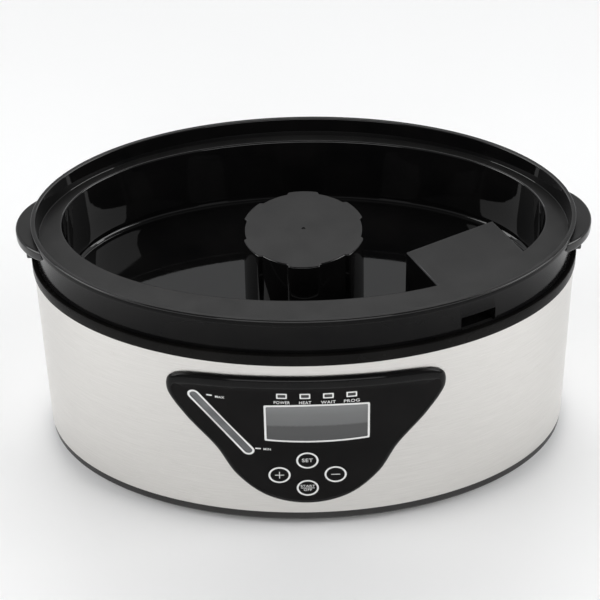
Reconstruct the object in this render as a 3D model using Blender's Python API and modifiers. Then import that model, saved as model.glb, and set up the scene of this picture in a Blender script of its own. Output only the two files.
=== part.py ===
"""Yogurt maker, steam base unit. Metres, +Z up, control panel towards -Y, base on Z = 0."""

import math

import bmesh
import bpy
from mathutils import Matrix, Vector

MM = 0.001

# Driving dimensions, in millimetres.
RIM_HALF_LENGTH = 189.0
RIM_HALF_WIDTH = 115.2
TRAY_HALF_LENGTH = 169.5
TRAY_HALF_WIDTH = 90.0
TRAY_CENTRE_Y = 13.0
RIM_TOP_Z = 190.5
LEDGE_DEPTH = 14.0
TRAY_DEPTH = 51.0
TRAY_FILLET = 6.0
TRAY_DRAFT = 1.6
STEEL_TOP_Z = 152.6
STEEL_BOTTOM_Z = 13.0
FOOT_HEIGHT = 3.0
WALL = 2.5
GAP = 0.3
SEGMENTS = 60
ROUND = 24
SMALL_ROUND = 12
BUTTON_HOLE_SIDES = 30

# Skins around the rim oval, as distances outside it.
HOUSING_SKIN = -1.2
STEEL_SKIN = 0.85
STEEL_SHEET = 0.6
TRIM_SKIN = 1.9
TRIM_TOP_Z = 161.5
PAN_SKIN = 0.3

# Steam cap.
CAP_RADIUS = 43.3
CAP_NOTCH = 2.2
CAP_TEETH = 6
CAP_SLOT_HEIGHT = 9.0
COLLAR_CLEARANCE = 1.1
COLLAR_HEIGHT = 5.0
MOULD_DRAFT = 0.4

# Water inlet: a box in the tray, turned about Z, and an opening in the outer wall.
INLET_TURN = math.radians(28.5)
INLET_BOX_START = 48.0
INLET_BOX_LENGTH = 71.0
INLET_BOX_BACK = 58.0
INLET_BOX_FRONT = 108.0
INLET_MOUTH_START = 46.0
INLET_MOUTH_LENGTH = 26.0
INLET_SILL_Z = 163.0
INLET_MOUTH_HEIGHT = 10.5
CHUTE_PIPE_RADIUS = 8.0

# Reservoir and heater.
TANK_HALF_LENGTH = 126.0
TANK_HALF_WIDTH = 64.0
TANK_FLOOR_Z = 66.0
TANK_FLANGE = 9.0
TANK_FLANGE_THICKNESS = 2.5
GASKET = 1.4
HEATER_RADIUS = 32.0
HEATER_FLANGE = 7.0
HEATER_FLANGE_THICKNESS = 2.0
ELEMENT_RADIUS = 24.0
ELEMENT_THICKNESS = 4.0

# Control panel.
PANEL_TOP_Z = 142.3
PANEL_BOTTOM_Z = 25.0
PANEL_HALF_WIDTH = 94.5
PANEL_STAND_OFF = 4.6
PANEL_BORDER = 5.0
RETAINER_REACH = 3.4
LCD_X, LCD_Z = 7.0, 102.7
LCD_LENGTH, LCD_HEIGHT = 71.5, 32.5
LED_X, LED_Z, LED_PITCH = 7.0, 128.0, 15.7
LED_LENGTH, LED_HEIGHT = 7.2, 4.6
BUTTON_RADIUS = 8.0
BUTTON_FLANGE = 0.9
BUTTON_TRAVEL = 0.9
FLANGE_GAP = 0.45
BUTTONS = {"set": (0.0, 68.1), "plus": (-19.4, 53.8), "minus": (19.4, 53.8), "start": (0.0, 41.4)}
GAUGE_LOW = (-40.4, 76.3)
GAUGE_HIGH = (-75.8, 122.6)
GAUGE_WIDTH = 8.5
GAUGE_TUBE_RADIUS = 4.0
TUBE_PLUG = 5.0
TUBE_CAP = 1.5
BOARD_Y = -99.0
BOARD_THICKNESS = 1.6

# Handles, feet, posts and boards.
HANDLE_REACH = 200.0
HANDLE_RADIUS = 37.0
HANDLE_TOP_Z = 184.5
HANDLE_THICKNESS = 8.0
HANDLE_TAB_HALF = 12.0
FOOT_X, FOOT_Y, FOOT_RADIUS = 118.0, 58.0, 9.0
POSTS = {"front_left": (-163.0, -34.0), "front_right": (163.0, -34.0),
         "rear_left": (-104.0, 68.0), "rear_right": (104.0, 68.0)}
POST_RADIUS = 5.0
POST_BOTTOM_Z = 32.0
BASE_FLOOR_Z = 5.5
POWER_BOARD = (-80.0, 0.0, 84.0, 58.0)
CORD_Z = 34.0
CORD_BORE = 3.6
CORD_NECK = 6.0
CORD_FLANGE = 3.45

BASE_HEAD_Z = 10.0
HANDLE_SCREW_Z = 168.5
TANK_SCREW_ANGLES = (-112.0, -68.0, 40.0, 140.0)
TANK_SCREW_OFFSET = 6.5
TANK_TAB = 6.5
BOARD_SEAT_Z = 14.0
BOSS_RADIUS = 3.6
SELF_TAP_HEAD = 3.2
SELF_TAP_HEAD_HEIGHT = 2.0
SELF_TAP_SHANK = 0.9
CLAMP_THICKNESS = 1.5
RING_SEAT = 3.5
STEEL_LAP = 3.0
CHUTE_WALL = 1.5
TUBE_WALL = 1.2
FLOAT_LENGTH = 6.0
HOSE_RADIUS = 3.6

LEDGE_Z = RIM_TOP_Z - LEDGE_DEPTH
TRAY_FLOOR_Z = LEDGE_Z - TRAY_DEPTH
TRAY_UNDER_Z = TRAY_FLOOR_Z - WALL
LEDGE_UNDER_Z = LEDGE_Z - WALL
TANK_FLANGE_Z = TRAY_UNDER_Z - 2 * GAP - GASKET
COLLAR_RADIUS = CAP_RADIUS - CAP_NOTCH - 2 * WALL - COLLAR_CLEARANCE
HANDLE_CENTRE = HANDLE_REACH - HANDLE_RADIUS

for leftover in list(bpy.data.objects):
    bpy.data.objects.remove(leftover)

scene = bpy.context.scene
parts = bpy.data.collections.new("yogurt_maker")
cutters = bpy.data.collections.new("cutters")
scene.collection.children.link(parts)
scene.collection.children.link(cutters)
cutters.hide_render = True


def material(name, colour, roughness, metallic=0.0):
    """A plain Principled BSDF material."""
    made = bpy.data.materials.new(name)
    made.use_nodes = True
    shader = made.node_tree.nodes["Principled BSDF"]
    shader.inputs["Base Color"].default_value = (*colour, 1.0)
    shader.inputs["Roughness"].default_value = roughness
    shader.inputs["Metallic"].default_value = metallic
    return made


GLOSS_BLACK = ("gloss_black", (0.01, 0.01, 0.011), 0.08)
SATIN_BLACK = ("satin_black", (0.03, 0.03, 0.032), 0.4)
STEEL = ("brushed_steel", (0.62, 0.60, 0.57), 0.3, 1.0)
ALUMINIUM = ("aluminium", (0.75, 0.75, 0.76), 0.35, 1.0)
ZINC = ("zinc_screw", (0.6, 0.6, 0.58), 0.4, 1.0)
RUBBER = ("black_rubber", (0.02, 0.02, 0.02), 0.85)
SILICONE = ("white_silicone", (0.75, 0.74, 0.7), 0.6)
CLEAR = ("clear_window", (0.55, 0.57, 0.58), 0.1)
BOARD = ("circuit_board", (0.02, 0.16, 0.07), 0.5)
GREY = ("grey_plastic", (0.35, 0.36, 0.36), 0.5)
WHITE_PLASTIC = ("white_plastic", (0.75, 0.75, 0.74), 0.5)
RED = ("red_float", (0.7, 0.03, 0.02), 0.4)


def place(name, mesh, finish=None):
    """Puts a mesh in the parts collection, or in the cutters collection when it has no finish."""
    made = bpy.data.objects.new(name, mesh)
    if finish:
        found = bpy.data.materials.get(finish[0])
        made.data.materials.append(found or material(*finish))
        parts.objects.link(made)
    else:
        made.display_type = "WIRE"
        made.hide_render = True
        cutters.objects.link(made)
    return made


def mesh_from(name, shape):
    bmesh.ops.recalc_face_normals(shape, faces=shape.faces)
    mesh = bpy.data.meshes.new(name)
    shape.to_mesh(mesh)
    shape.free()
    return mesh


def box(name, size, centre, finish=None, turn=0.0, draft=0.0):
    """A box by its full size and centre, turned about Z. A draft spreads its foot on every side."""
    shape = bmesh.new()
    bmesh.ops.create_cube(shape, size=1.0)
    bmesh.ops.scale(shape, vec=Vector(size) * MM, verts=shape.verts)
    for corner in shape.verts:
        if corner.co.z < 0:
            corner.co.x += math.copysign(draft * MM, corner.co.x)
            corner.co.y += math.copysign(draft * MM, corner.co.y)
    made = place(name, mesh_from(name, shape), finish)
    made.location = Vector(centre) * MM
    made.rotation_euler.z = turn
    return made


def aimed(centre, axis):
    """The placement that turns Z onto an axis, given by its letter or as a direction."""
    if isinstance(axis, str):
        axis = [float(axis == letter) for letter in "XYZ"]
    turn = Vector(axis).to_track_quat("Z", "Y").to_matrix().to_4x4()
    return Matrix.Translation(Vector(centre) * MM) @ turn


def rod(name, radius, length, centre, axis="Z", finish=None, segments=ROUND):
    """A cylinder along an axis, by its centre."""
    shape = bmesh.new()
    bmesh.ops.create_cone(shape, cap_ends=True, segments=segments, radius1=radius * MM, radius2=radius * MM,
                          depth=length * MM)
    made = place(name, mesh_from(name, shape), finish)
    made.matrix_world = aimed(centre, axis)
    return made


def turned(name, profile, centre, finish=None, segments=ROUND, axis="Z"):
    """A profile of (radius, height) points turned about an axis by a Screw modifier."""
    following = profile[1:] + profile[:1]
    area = sum(r * next_z - next_r * z for (r, z), (next_r, next_z) in zip(profile, following))
    if area > 0:
        profile = profile[::-1]
    mesh = bpy.data.meshes.new(name)
    points = [(radius * MM, 0.0, height * MM) for radius, height in profile]
    count = len(points)
    closed = profile[0][0] > 0 and profile[-1][0] > 0
    edges = [(i, (i + 1) % count) for i in range(count if closed else count - 1)]
    mesh.from_pydata(points, edges, [])
    made = place(name, mesh, finish)
    screw = made.modifiers.new("turn", "SCREW")
    screw.steps = screw.render_steps = segments
    screw.use_merge_vertices = True
    screw.merge_threshold = 0.00001
    screw.use_smooth_shade = False
    made.matrix_world = aimed(centre, axis)
    return made


def combine(target, operation, *others):
    """Joins or cuts a part with helper objects."""
    for other in others:
        step = target.modifiers.new(other.name, "BOOLEAN")
        step.operation = operation
        step.object = other
    return target


def cut(target, *others):
    return combine(target, "DIFFERENCE", *others)


def join(target, *others):
    return combine(target, "UNION", *others)


def oval(half_length, half_width, offset, z, centre_y=0.0):
    """Points of an ellipse moved outward along its normal."""
    points = []
    for step in range(SEGMENTS):
        angle = 2 * math.pi * step / SEGMENTS
        cosine, sine = math.cos(angle), math.sin(angle)
        normal = Vector((cosine * half_width, sine * half_length)).normalized()
        points.append(Vector((half_length * cosine + offset * normal.x,
                              centre_y + half_width * sine + offset * normal.y, z)) * MM)
    return points


def on_oval(half_length, half_width, offset, degrees):
    """The point of an offset ellipse at a parametric angle."""
    angle = math.radians(degrees)
    cosine, sine = math.cos(angle), math.sin(angle)
    normal = Vector((cosine * half_width, sine * half_length)).normalized()
    return Vector((half_length * cosine + offset * normal.x, half_width * sine + offset * normal.y))


def tank_screws():
    return [on_oval(TANK_HALF_LENGTH, TANK_HALF_WIDTH, TANK_SCREW_OFFSET, angle)
            for angle in TANK_SCREW_ANGLES]


def rim_oval(offset, z):
    return oval(RIM_HALF_LENGTH, RIM_HALF_WIDTH, offset, z)


def tray_oval(offset, z):
    return oval(TRAY_HALF_LENGTH, TRAY_HALF_WIDTH, offset, z, TRAY_CENTRE_Y)


def tank_oval(offset, z):
    return oval(TANK_HALF_LENGTH, TANK_HALF_WIDTH, offset, z)


def circle(radius, z):
    return oval(radius, radius, 0.0, z)


def loft(name, rings, finish=None, ends="joined"):
    """Skins rings of equal count. The ends are joined to each other or capped."""
    shape = bmesh.new()
    rows = [[shape.verts.new(point) for point in ring] for ring in rings]
    pairs = list(zip(rows, rows[1:]))
    if ends == "joined":
        pairs.append((rows[-1], rows[0]))
    else:
        shape.faces.new(rows[0])
        shape.faces.new(rows[-1])
    for lower, upper in pairs:
        for i in range(len(lower)):
            j = (i + 1) % len(lower)
            shape.faces.new((lower[i], lower[j], upper[j], upper[i]))
    return place(name, mesh_from(name, shape), finish)


def wall_y(x, offset):
    """Y of the front wall at x, on the skin this far outside the rim oval."""
    a, b = RIM_HALF_LENGTH + offset, RIM_HALF_WIDTH + offset
    return -b * math.sqrt(1 - (x / a) ** 2)


def smooth_loop(points, steps):
    """A closed Catmull-Rom curve through the points."""
    made = []
    count = len(points)
    for i in range(count):
        before, start, end, after = (Vector(points[(i + k) % count]) for k in (-1, 0, 1, 2))
        for step in range(steps):
            t = step / steps
            square = (2 * before - 5 * start + 4 * end - after) * t * t
            cube = (3 * start - before - 3 * end + after) * t ** 3
            made.append(0.5 * (2 * start + (end - before) * t + square + cube))
    return made


def inset_loop(points, distance):
    """A counterclockwise outline moved inward."""
    made = []
    count = len(points)
    for i, point in enumerate(points):
        along = (points[(i + 1) % count] - points[i - 1]).normalized()
        made.append(point + Vector((-along.y, along.x)) * distance)
    return made


def panel_outline(inset=0.0, steps=4):
    """The panel's shield shape in X and Z: arched top, round tips, swept-in sides and a round foot."""
    half = [(28.0, PANEL_BOTTOM_Z + 6.6), (49.2, 50.5), (63.2, 76.0), (83.2, 101.5),
            (PANEL_HALF_WIDTH, 123.0), (86.5, 137.4), (48.0, PANEL_TOP_Z - 1.0)]
    right = [(0.0, PANEL_BOTTOM_Z)] + half + [(0.0, PANEL_TOP_Z)]
    left = [(-x, z) for x, z in reversed(half)]
    return inset_loop(smooth_loop(right + left, steps), inset)


def stadium(start, end, width, steps=8):
    """A slot's outline between two end centres."""
    start, end = Vector(start), Vector(end)
    along = (end - start).normalized()
    side = math.atan2(along.y, along.x)
    made = []
    for centre, turn in ((end, side - math.pi / 2), (start, side + math.pi / 2)):
        for step in range(steps + 1):
            angle = turn + math.pi * step / steps
            made.append(centre + Vector((math.cos(angle), math.sin(angle))) * width / 2)
    return made


def rectangle(x, z, length, height, shrink=0.0):
    half_x, half_z = length / 2 - shrink, height / 2 - shrink
    return [Vector((x + i * half_x, z + k * half_z)) for i, k in ((-1, -1), (1, -1), (1, 1), (-1, 1))]


def prism(name, outline, near_y, far_y, finish=None):
    """An outline in X and Z, extruded along Y."""
    shape = bmesh.new()
    rows = [[shape.verts.new(Vector((p.x, y, p.y)) * MM) for p in outline] for y in (near_y, far_y)]
    shape.faces.new(rows[0])
    shape.faces.new(rows[1])
    for i in range(len(outline)):
        j = (i + 1) % len(outline)
        shape.faces.new((rows[0][i], rows[0][j], rows[1][j], rows[1][i]))
    return place(name, mesh_from(name, shape), finish)


def wall_plate(name, outline, inner, outer, finish):
    """A plate that follows the front wall between two skins, cut to an outline in X and Z."""
    xs = [p.x for p in outline]
    zs = [p.y for p in outline]
    near = wall_y(0.0, outer) - 5.0
    far = max(wall_y(x, inner) for x in (min(xs), max(xs))) + 5.0
    plate = prism(name, outline, near, far, finish)
    low, high = min(zs) - 2.0, max(zs) + 2.0
    skin = loft(name + "_skin", [rim_oval(inner, low), rim_oval(outer, low), rim_oval(outer, high),
                                 rim_oval(inner, high)])
    return combine(plate, "INTERSECT", skin)


def wall_cut(name, outline):
    """A cutter through the whole front wall."""
    return prism(name, outline, -RIM_HALF_WIDTH - 20.0, -RIM_HALF_WIDTH + 60.0)


def inlet_box(name, along, across, low, high, finish=None, draft=0.0):
    """A box in the inlet's own turned frame: along the wall and outward, each as (start, end)."""
    tangent = Vector((math.cos(INLET_TURN), math.sin(INLET_TURN)))
    outward = Vector((math.sin(INLET_TURN), -math.cos(INLET_TURN)))
    centre = tangent * sum(along) / 2 + outward * sum(across) / 2
    size = (along[1] - along[0], across[1] - across[0], high - low)
    return box(name, size, (centre.x, centre.y, (low + high) / 2), finish, INLET_TURN, draft)


def inlet_point(along, outward):
    tangent = Vector((math.cos(INLET_TURN), math.sin(INLET_TURN)))
    normal = Vector((math.sin(INLET_TURN), -math.cos(INLET_TURN)))
    return tangent * along + normal * outward


def screw(name, head_radius, head_height, shank_radius, length, head_at, direction):
    """A pan-head screw: the underside of its head is at head_at and its shank runs along direction."""
    direction = Vector(direction).normalized()
    profile = [(0.0, -head_height), (head_radius * 0.8, -head_height), (head_radius, -head_height * 0.5),
               (head_radius, 0.0), (shank_radius, 0.0), (shank_radius, length - shank_radius), (0.0, length)]
    made = turned(name, profile, head_at, ZINC, 8, direction)
    slot = box(name + "_drive", (head_radius * 1.3, head_radius * 0.28, head_height * 0.5), (0, 0, 0))
    slot.matrix_world = made.matrix_world @ Matrix.Translation((0, 0, -head_height * MM))
    return cut(made, slot)


# ---------------------------------------------------------------- upper housing

def make_upper_housing():
    skin, inner = HOUSING_SKIN, HOUSING_SKIN - WALL
    top = RIM_TOP_Z
    seat = TRIM_TOP_Z - RING_SEAT
    housing = loft("upper_housing", [
        rim_oval(skin, seat), rim_oval(skin, top - 5.5), rim_oval(0.0, top - 4.5), rim_oval(0.0, top - 1.0),
        rim_oval(-1.0, top), rim_oval(-2.6, top), rim_oval(-3.6, top - 1.0), rim_oval(-4.4, LEDGE_Z),
        tray_oval(1.5, LEDGE_Z), tray_oval(0.0, LEDGE_Z - 1.5),
        tray_oval(-TRAY_DRAFT, TRAY_FLOOR_Z + TRAY_FILLET),
        tray_oval(-TRAY_DRAFT - TRAY_FILLET * 0.3, TRAY_FLOOR_Z + TRAY_FILLET * 0.3),
        tray_oval(-TRAY_DRAFT - TRAY_FILLET, TRAY_FLOOR_Z),
        circle(COLLAR_RADIUS + WALL + MOULD_DRAFT, TRAY_FLOOR_Z),
        circle(COLLAR_RADIUS + WALL, TRAY_FLOOR_Z + COLLAR_HEIGHT),
        circle(COLLAR_RADIUS, TRAY_FLOOR_Z + COLLAR_HEIGHT), circle(COLLAR_RADIUS, TRAY_UNDER_Z),
        tray_oval(-TRAY_DRAFT - TRAY_FILLET, TRAY_UNDER_Z),
        tray_oval(WALL - TRAY_DRAFT - TRAY_FILLET * 0.3, TRAY_FLOOR_Z),
        tray_oval(WALL - TRAY_DRAFT, TRAY_FLOOR_Z + TRAY_FILLET), tray_oval(WALL, LEDGE_UNDER_Z),
        rim_oval(inner, LEDGE_UNDER_Z), rim_oval(inner, seat),
    ], GLOSS_BLACK)
    along = (INLET_BOX_START, INLET_BOX_START + INLET_BOX_LENGTH)
    across = (INLET_BOX_BACK, INLET_BOX_FRONT)
    solid = inlet_box("inlet_block", along, across, TRAY_UNDER_Z + 0.4, LEDGE_Z, draft=MOULD_DRAFT)
    hollow = inlet_box("inlet_hollow", (along[0] + WALL, along[1] - WALL),
                       (across[0] + WALL, across[1] + 4.0), TRAY_UNDER_Z - 5.0, LEDGE_UNDER_Z)
    mouth = inlet_box("inlet_mouth", (INLET_MOUTH_START, INLET_MOUTH_START + INLET_MOUTH_LENGTH),
                      (120.0, 150.0), INLET_SILL_Z, INLET_SILL_Z + INLET_MOUTH_HEIGHT)
    join(housing, solid)
    for label, (x, y) in POSTS.items():
        height = LEDGE_UNDER_Z + 1.0 - POST_BOTTOM_Z
        if label.startswith("rear"):
            height = TRAY_UNDER_Z + 1.0 - POST_BOTTOM_Z
        post = rod("post_" + label, POST_RADIUS, height, (x, y, POST_BOTTOM_Z + height / 2),
                   segments=SMALL_ROUND)
        bore = rod("bore_" + label, 1.7, 24.0, (x, y, POST_BOTTOM_Z + 11.0), segments=12)
        join(housing, post)
        cut(housing, bore)
    cut(housing, hollow, mouth)
    for side in (-1, 1):
        hole = rod("handle_hole_%d" % side, 1.9, 20.0, (side * (RIM_HALF_LENGTH - 2.0), 0.0, HANDLE_SCREW_Z),
                   "X", segments=12)
        cut(housing, hole)
    for x, y in tank_screws():
        height = GASKET + GAP + 1.0
        join(housing, rod("boss_%d_%d" % (x, y), BOSS_RADIUS, height, (x, y, TRAY_UNDER_Z + 1.0 - height / 2),
                          segments=12))
        cut(housing, rod("pilot_%d_%d" % (x, y), 1.2, 2.0, (x, y, TRAY_UNDER_Z - 1.4), segments=12))
    return housing


# ---------------------------------------------------------------- outer skins

def make_trim_ring():
    inside = HOUSING_SKIN + GAP
    seat = TRIM_TOP_Z - RING_SEAT - GAP
    steel_out, steel_in = STEEL_SKIN + GAP, STEEL_SKIN - STEEL_SHEET - GAP
    return loft("trim_ring", [
        rim_oval(TRIM_SKIN, STEEL_TOP_Z), rim_oval(TRIM_SKIN, TRIM_TOP_Z - 0.8),
        rim_oval(TRIM_SKIN - 0.8, TRIM_TOP_Z),
        rim_oval(inside, TRIM_TOP_Z), rim_oval(inside, seat), rim_oval(HOUSING_SKIN - WALL, seat),
        rim_oval(HOUSING_SKIN - WALL, STEEL_TOP_Z - STEEL_LAP), rim_oval(steel_in, STEEL_TOP_Z - STEEL_LAP),
        rim_oval(steel_in, STEEL_TOP_Z + STEEL_LAP), rim_oval(steel_out, STEEL_TOP_Z + STEEL_LAP),
        rim_oval(steel_out, STEEL_TOP_Z),
    ], SATIN_BLACK)


def make_steel_shell():
    low, high = STEEL_BOTTOM_Z, STEEL_TOP_Z + STEEL_LAP - GAP
    outer, inner = STEEL_SKIN, STEEL_SKIN - STEEL_SHEET
    shell = loft("steel_shell", [rim_oval(outer, low), rim_oval(outer, high), rim_oval(inner, high),
                                 rim_oval(inner, low)], STEEL)
    cut(shell, wall_cut("panel_hole", panel_outline(PANEL_BORDER)))
    cord_hole = rod("cord_hole", CORD_NECK + GAP, 20.0, (0.0, RIM_HALF_WIDTH, CORD_Z), "Y", segments=24)
    return cut(shell, cord_hole)


def make_base_pan():
    floor, bottom = BASE_FLOOR_Z, FOOT_HEIGHT
    inner = STEEL_SKIN - STEEL_SHEET - GAP
    pan = loft("base_pan", [
        rim_oval(-7.0, bottom), rim_oval(-2.0, bottom + 0.7), rim_oval(PAN_SKIN, bottom + 4.0),
        rim_oval(PAN_SKIN, STEEL_BOTTOM_Z - GAP), rim_oval(inner, STEEL_BOTTOM_Z - GAP),
        rim_oval(inner, STEEL_BOTTOM_Z + 8.0), rim_oval(inner - 2.4, STEEL_BOTTOM_Z + 8.0),
        rim_oval(inner - 2.4, floor + 1.0), rim_oval(inner - 3.4, floor),
    ], SATIN_BLACK, ends="capped")
    boss_top = POST_BOTTOM_Z - GAP
    for label, (x, y) in POSTS.items():
        height = boss_top - bottom - 0.5
        join(pan, rod("base_boss_" + label, POST_RADIUS + 0.5, height, (x, y, boss_top - height / 2),
                      segments=SMALL_ROUND))
    for x, y in board_corners():
        height = BOARD_SEAT_Z - GAP - floor + 0.5
        join(pan, rod("stand_off_%d_%d" % (x, y), 3.0, height, (x, y, BOARD_SEAT_Z - GAP - height / 2),
                      segments=12))
    for label, (x, y) in POSTS.items():
        cut(pan, rod("screw_way_" + label, 2.2, 40.0, (x, y, 20.0), segments=12),
            rod("screw_head_way_" + label, 4.0, BASE_HEAD_Z - bottom + 2.0,
                (x, y, (BASE_HEAD_Z + bottom - 2.0) / 2), segments=SMALL_ROUND))
    for x, y in feet_places().values():
        cut(pan, rod("foot_seat_%d_%d" % (x, y), FOOT_RADIUS + GAP, 4.0, (x, y, bottom - 0.8), segments=16))
    for step in range(5):
        cut(pan, box("vent_%d" % step, (5.0, 34.0, 10.0), (40.0 + 11.0 * step, 0.0, bottom)))
    return pan


def feet_places():
    return {"front_left": (-FOOT_X, -FOOT_Y), "front_right": (FOOT_X, -FOOT_Y),
            "rear_left": (-FOOT_X, FOOT_Y), "rear_right": (FOOT_X, FOOT_Y)}


def make_feet():
    top = FOOT_HEIGHT + 1.2 - GAP
    for label, (x, y) in feet_places().items():
        turned("foot_" + label, [(0.0, top), (FOOT_RADIUS, top), (FOOT_RADIUS, 1.0), (FOOT_RADIUS - 1.0, 0.0),
                                 (0.0, 0.0)], (x, y, 0.0), RUBBER, 16)


def make_base_screws():
    for label, (x, y) in POSTS.items():
        screw("base_screw_" + label, 3.6, 2.4, 1.4, 38.0, (x, y, BASE_HEAD_Z - GAP), (0, 0, 1))


# ---------------------------------------------------------------- handles

def make_handle(name, side):
    top, thickness = HANDLE_TOP_Z, HANDLE_THICKNESS
    skin = HOUSING_SKIN + GAP
    handle = rod(name, HANDLE_RADIUS, thickness, (side * HANDLE_CENTRE, 0.0, top - thickness / 2),
                 segments=64, finish=GLOSS_BLACK)
    tab_low = TRIM_TOP_Z + 1.5
    tab = box(name + "_tab", (16.0, 2 * HANDLE_TAB_HALF, top - tab_low),
              (side * (RIM_HALF_LENGTH - 8.0 + 4.2), 0.0, (top + tab_low) / 2 - 1.0))
    grip = rod(name + "_grip", HANDLE_RADIUS - 3.0, thickness - 2.5 + 6.0,
               (side * HANDLE_CENTRE, 0.0, top - 2.5 - (thickness + 3.5) / 2), segments=64)
    body = loft(name + "_body", [rim_oval(skin, tab_low - 5.0), rim_oval(skin, top + 5.0)], ends="capped")
    under_lip = loft(name + "_lip", [rim_oval(GAP, top - 0.2), rim_oval(GAP, top + 5.0)], ends="capped")
    pilot = rod(name + "_pilot", 1.2, 12.0, (side * (RIM_HALF_LENGTH - 0.5), 0.0, HANDLE_SCREW_Z), "X",
                segments=12)
    cut(handle, grip)
    join(handle, tab)
    cut(handle, body, under_lip, pilot)
    head_x = side * (RIM_HALF_LENGTH + HOUSING_SKIN - WALL - GAP - 0.2)
    screw(name + "_screw", SELF_TAP_HEAD, SELF_TAP_HEAD_HEIGHT, SELF_TAP_SHANK, 5.5,
          (head_x, 0.0, HANDLE_SCREW_Z), (side, 0, 0))
    return handle


# ---------------------------------------------------------------- steam cap

def cap_ring(radius, notch, z):
    """A round outline with shallow notches between its teeth."""
    points = []
    for step in range(SEGMENTS):
        angle = 2 * math.pi * step / SEGMENTS
        phase = math.cos(CAP_TEETH * (angle - math.pi / 2))
        depth = notch * min(max(0.5 - 2.2 * phase, 0.0), 1.0)
        reach = radius - depth
        points.append(Vector((reach * math.cos(angle), reach * math.sin(angle), z)) * MM)
    return points


def make_steam_cap():
    top, bottom = LEDGE_Z, TRAY_FLOOR_Z + GAP
    radius, notch, wall = CAP_RADIUS, CAP_NOTCH, WALL
    cap = loft("steam_cap", [
        cap_ring(radius + 0.6, notch, bottom), cap_ring(radius, notch, top - 3.0),
        cap_ring(radius - 0.7, notch, top - 1.2), cap_ring(radius - 3.0, notch * 0.8, top),
        circle(2.0, top), circle(1.2, top - 0.8),
        circle(0.6, top - 0.8),
    ], GLOSS_BLACK, ends="capped")
    room_top, room_low = top - 3.0, bottom - 5.0
    cut(cap, rod("cap_room", radius - notch - wall, room_top - room_low, (0, 0, (room_top + room_low) / 2)))
    for step in range(CAP_TEETH // 2):
        turn = math.pi * (step + 0.5) / (CAP_TEETH // 2) + math.pi / 2
        cut(cap, box("steam_slot_%d" % step, (2.4 * radius, 14.0, 2 * CAP_SLOT_HEIGHT), (0, 0, bottom),
                     turn=turn))
    return cap


# ---------------------------------------------------------------- inlet chute

def make_inlet_chute():
    mouth = (INLET_MOUTH_START, INLET_MOUTH_START + INLET_MOUTH_LENGTH)
    wall = CHUTE_WALL
    floor, top = INLET_SILL_Z - 0.6, LEDGE_UNDER_Z - GAP
    neck = (INLET_BOX_START + WALL + GAP, mouth[1] + wall)
    clear_front = INLET_BOX_FRONT + MOULD_DRAFT + GAP
    chute = inlet_box("inlet_chute", (mouth[0] - wall, mouth[1] + wall), (clear_front, 140.0),
                      floor - wall, top, SATIN_BLACK)
    inner_skin = loft("chute_limit", [rim_oval(HOUSING_SKIN - WALL - GAP, floor - 20.0),
                                      rim_oval(HOUSING_SKIN - WALL - GAP, top + 20.0)], ends="capped")
    combine(chute, "INTERSECT", inner_skin)
    back = INLET_BOX_BACK + WALL + 1.0
    join(chute, inlet_box("chute_neck", neck, (back, clear_front + 2.0), floor - wall, top))
    drop_at = inlet_point((neck[0] + neck[1]) / 2, back + CHUTE_PIPE_RADIUS + GAP)
    pipe_low = TANK_FLANGE_Z - 8.0
    pipe = rod("chute_pipe", CHUTE_PIPE_RADIUS, floor - pipe_low,
               (drop_at.x, drop_at.y, (floor + pipe_low) / 2))
    bore = rod("chute_bore", CHUTE_PIPE_RADIUS - wall, floor - pipe_low + 10.0,
               (drop_at.x, drop_at.y, (floor + pipe_low) / 2))
    join(chute, pipe)
    trough = inlet_box("chute_trough", mouth, (INLET_BOX_FRONT - 1.0, 150.0), floor, top + 5.0)
    neck_room = inlet_box("chute_neck_room", (neck[0] + wall, neck[1] - wall),
                          (back + wall, INLET_BOX_FRONT + 1.0), floor, top + 5.0)
    return cut(chute, trough, neck_room, bore)


# ---------------------------------------------------------------- reservoir and heater

def make_reservoir():
    top, floor, wall = TANK_FLANGE_Z, TANK_FLOOR_Z, WALL
    tank = loft("water_reservoir", [
        tank_oval(-10.0, floor), tank_oval(-3.0, floor + 1.5), tank_oval(0.0, floor + 8.0),
        tank_oval(0.0, top - TANK_FLANGE_THICKNESS), tank_oval(TANK_FLANGE, top - TANK_FLANGE_THICKNESS),
        tank_oval(TANK_FLANGE, top), tank_oval(-wall, top), tank_oval(-wall, floor + 9.0),
        tank_oval(-wall - 3.0, floor + 4.0), tank_oval(-10.0, floor + wall),
        circle(HEATER_RADIUS + GAP, floor + wall), circle(HEATER_RADIUS + GAP, floor),
    ], WHITE_PLASTIC)
    for x, y in tank_screws():
        join(tank, rod("tank_tab_%d_%d" % (x, y), TANK_TAB, TANK_FLANGE_THICKNESS,
                       (x, y, top - TANK_FLANGE_THICKNESS / 2), segments=24))
        cut(tank, rod("tank_screw_way_%d_%d" % (x, y), 1.8, 12.0, (x, y, top), segments=12))
    for x, y in heater_screw_places():
        boss_low = clamp_top() + GAP
        join(tank, rod("heater_boss_%d_%d" % (x, y), 4.0, floor + 1.0 - boss_low,
                       (x, y, (floor + 1.0 + boss_low) / 2), segments=SMALL_ROUND))
        cut(tank, rod("heater_pilot_%d_%d" % (x, y), 1.3, 5.0, (x, y, floor - 3.0), segments=12))
    spigot_x = SPIGOT[0]
    join(tank, rod("spigot", 4.0, 14.0, (spigot_x, SPIGOT[1] + 5.0, SPIGOT[2]), "Y", segments=SMALL_ROUND))
    cut(tank, rod("spigot_bore", 2.4, 34.0, (spigot_x, SPIGOT[1] + 12.0, SPIGOT[2]), "Y",
                  segments=SMALL_ROUND))
    return tank


SPIGOT = (-44.0, -68.0, 84.0)


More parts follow.
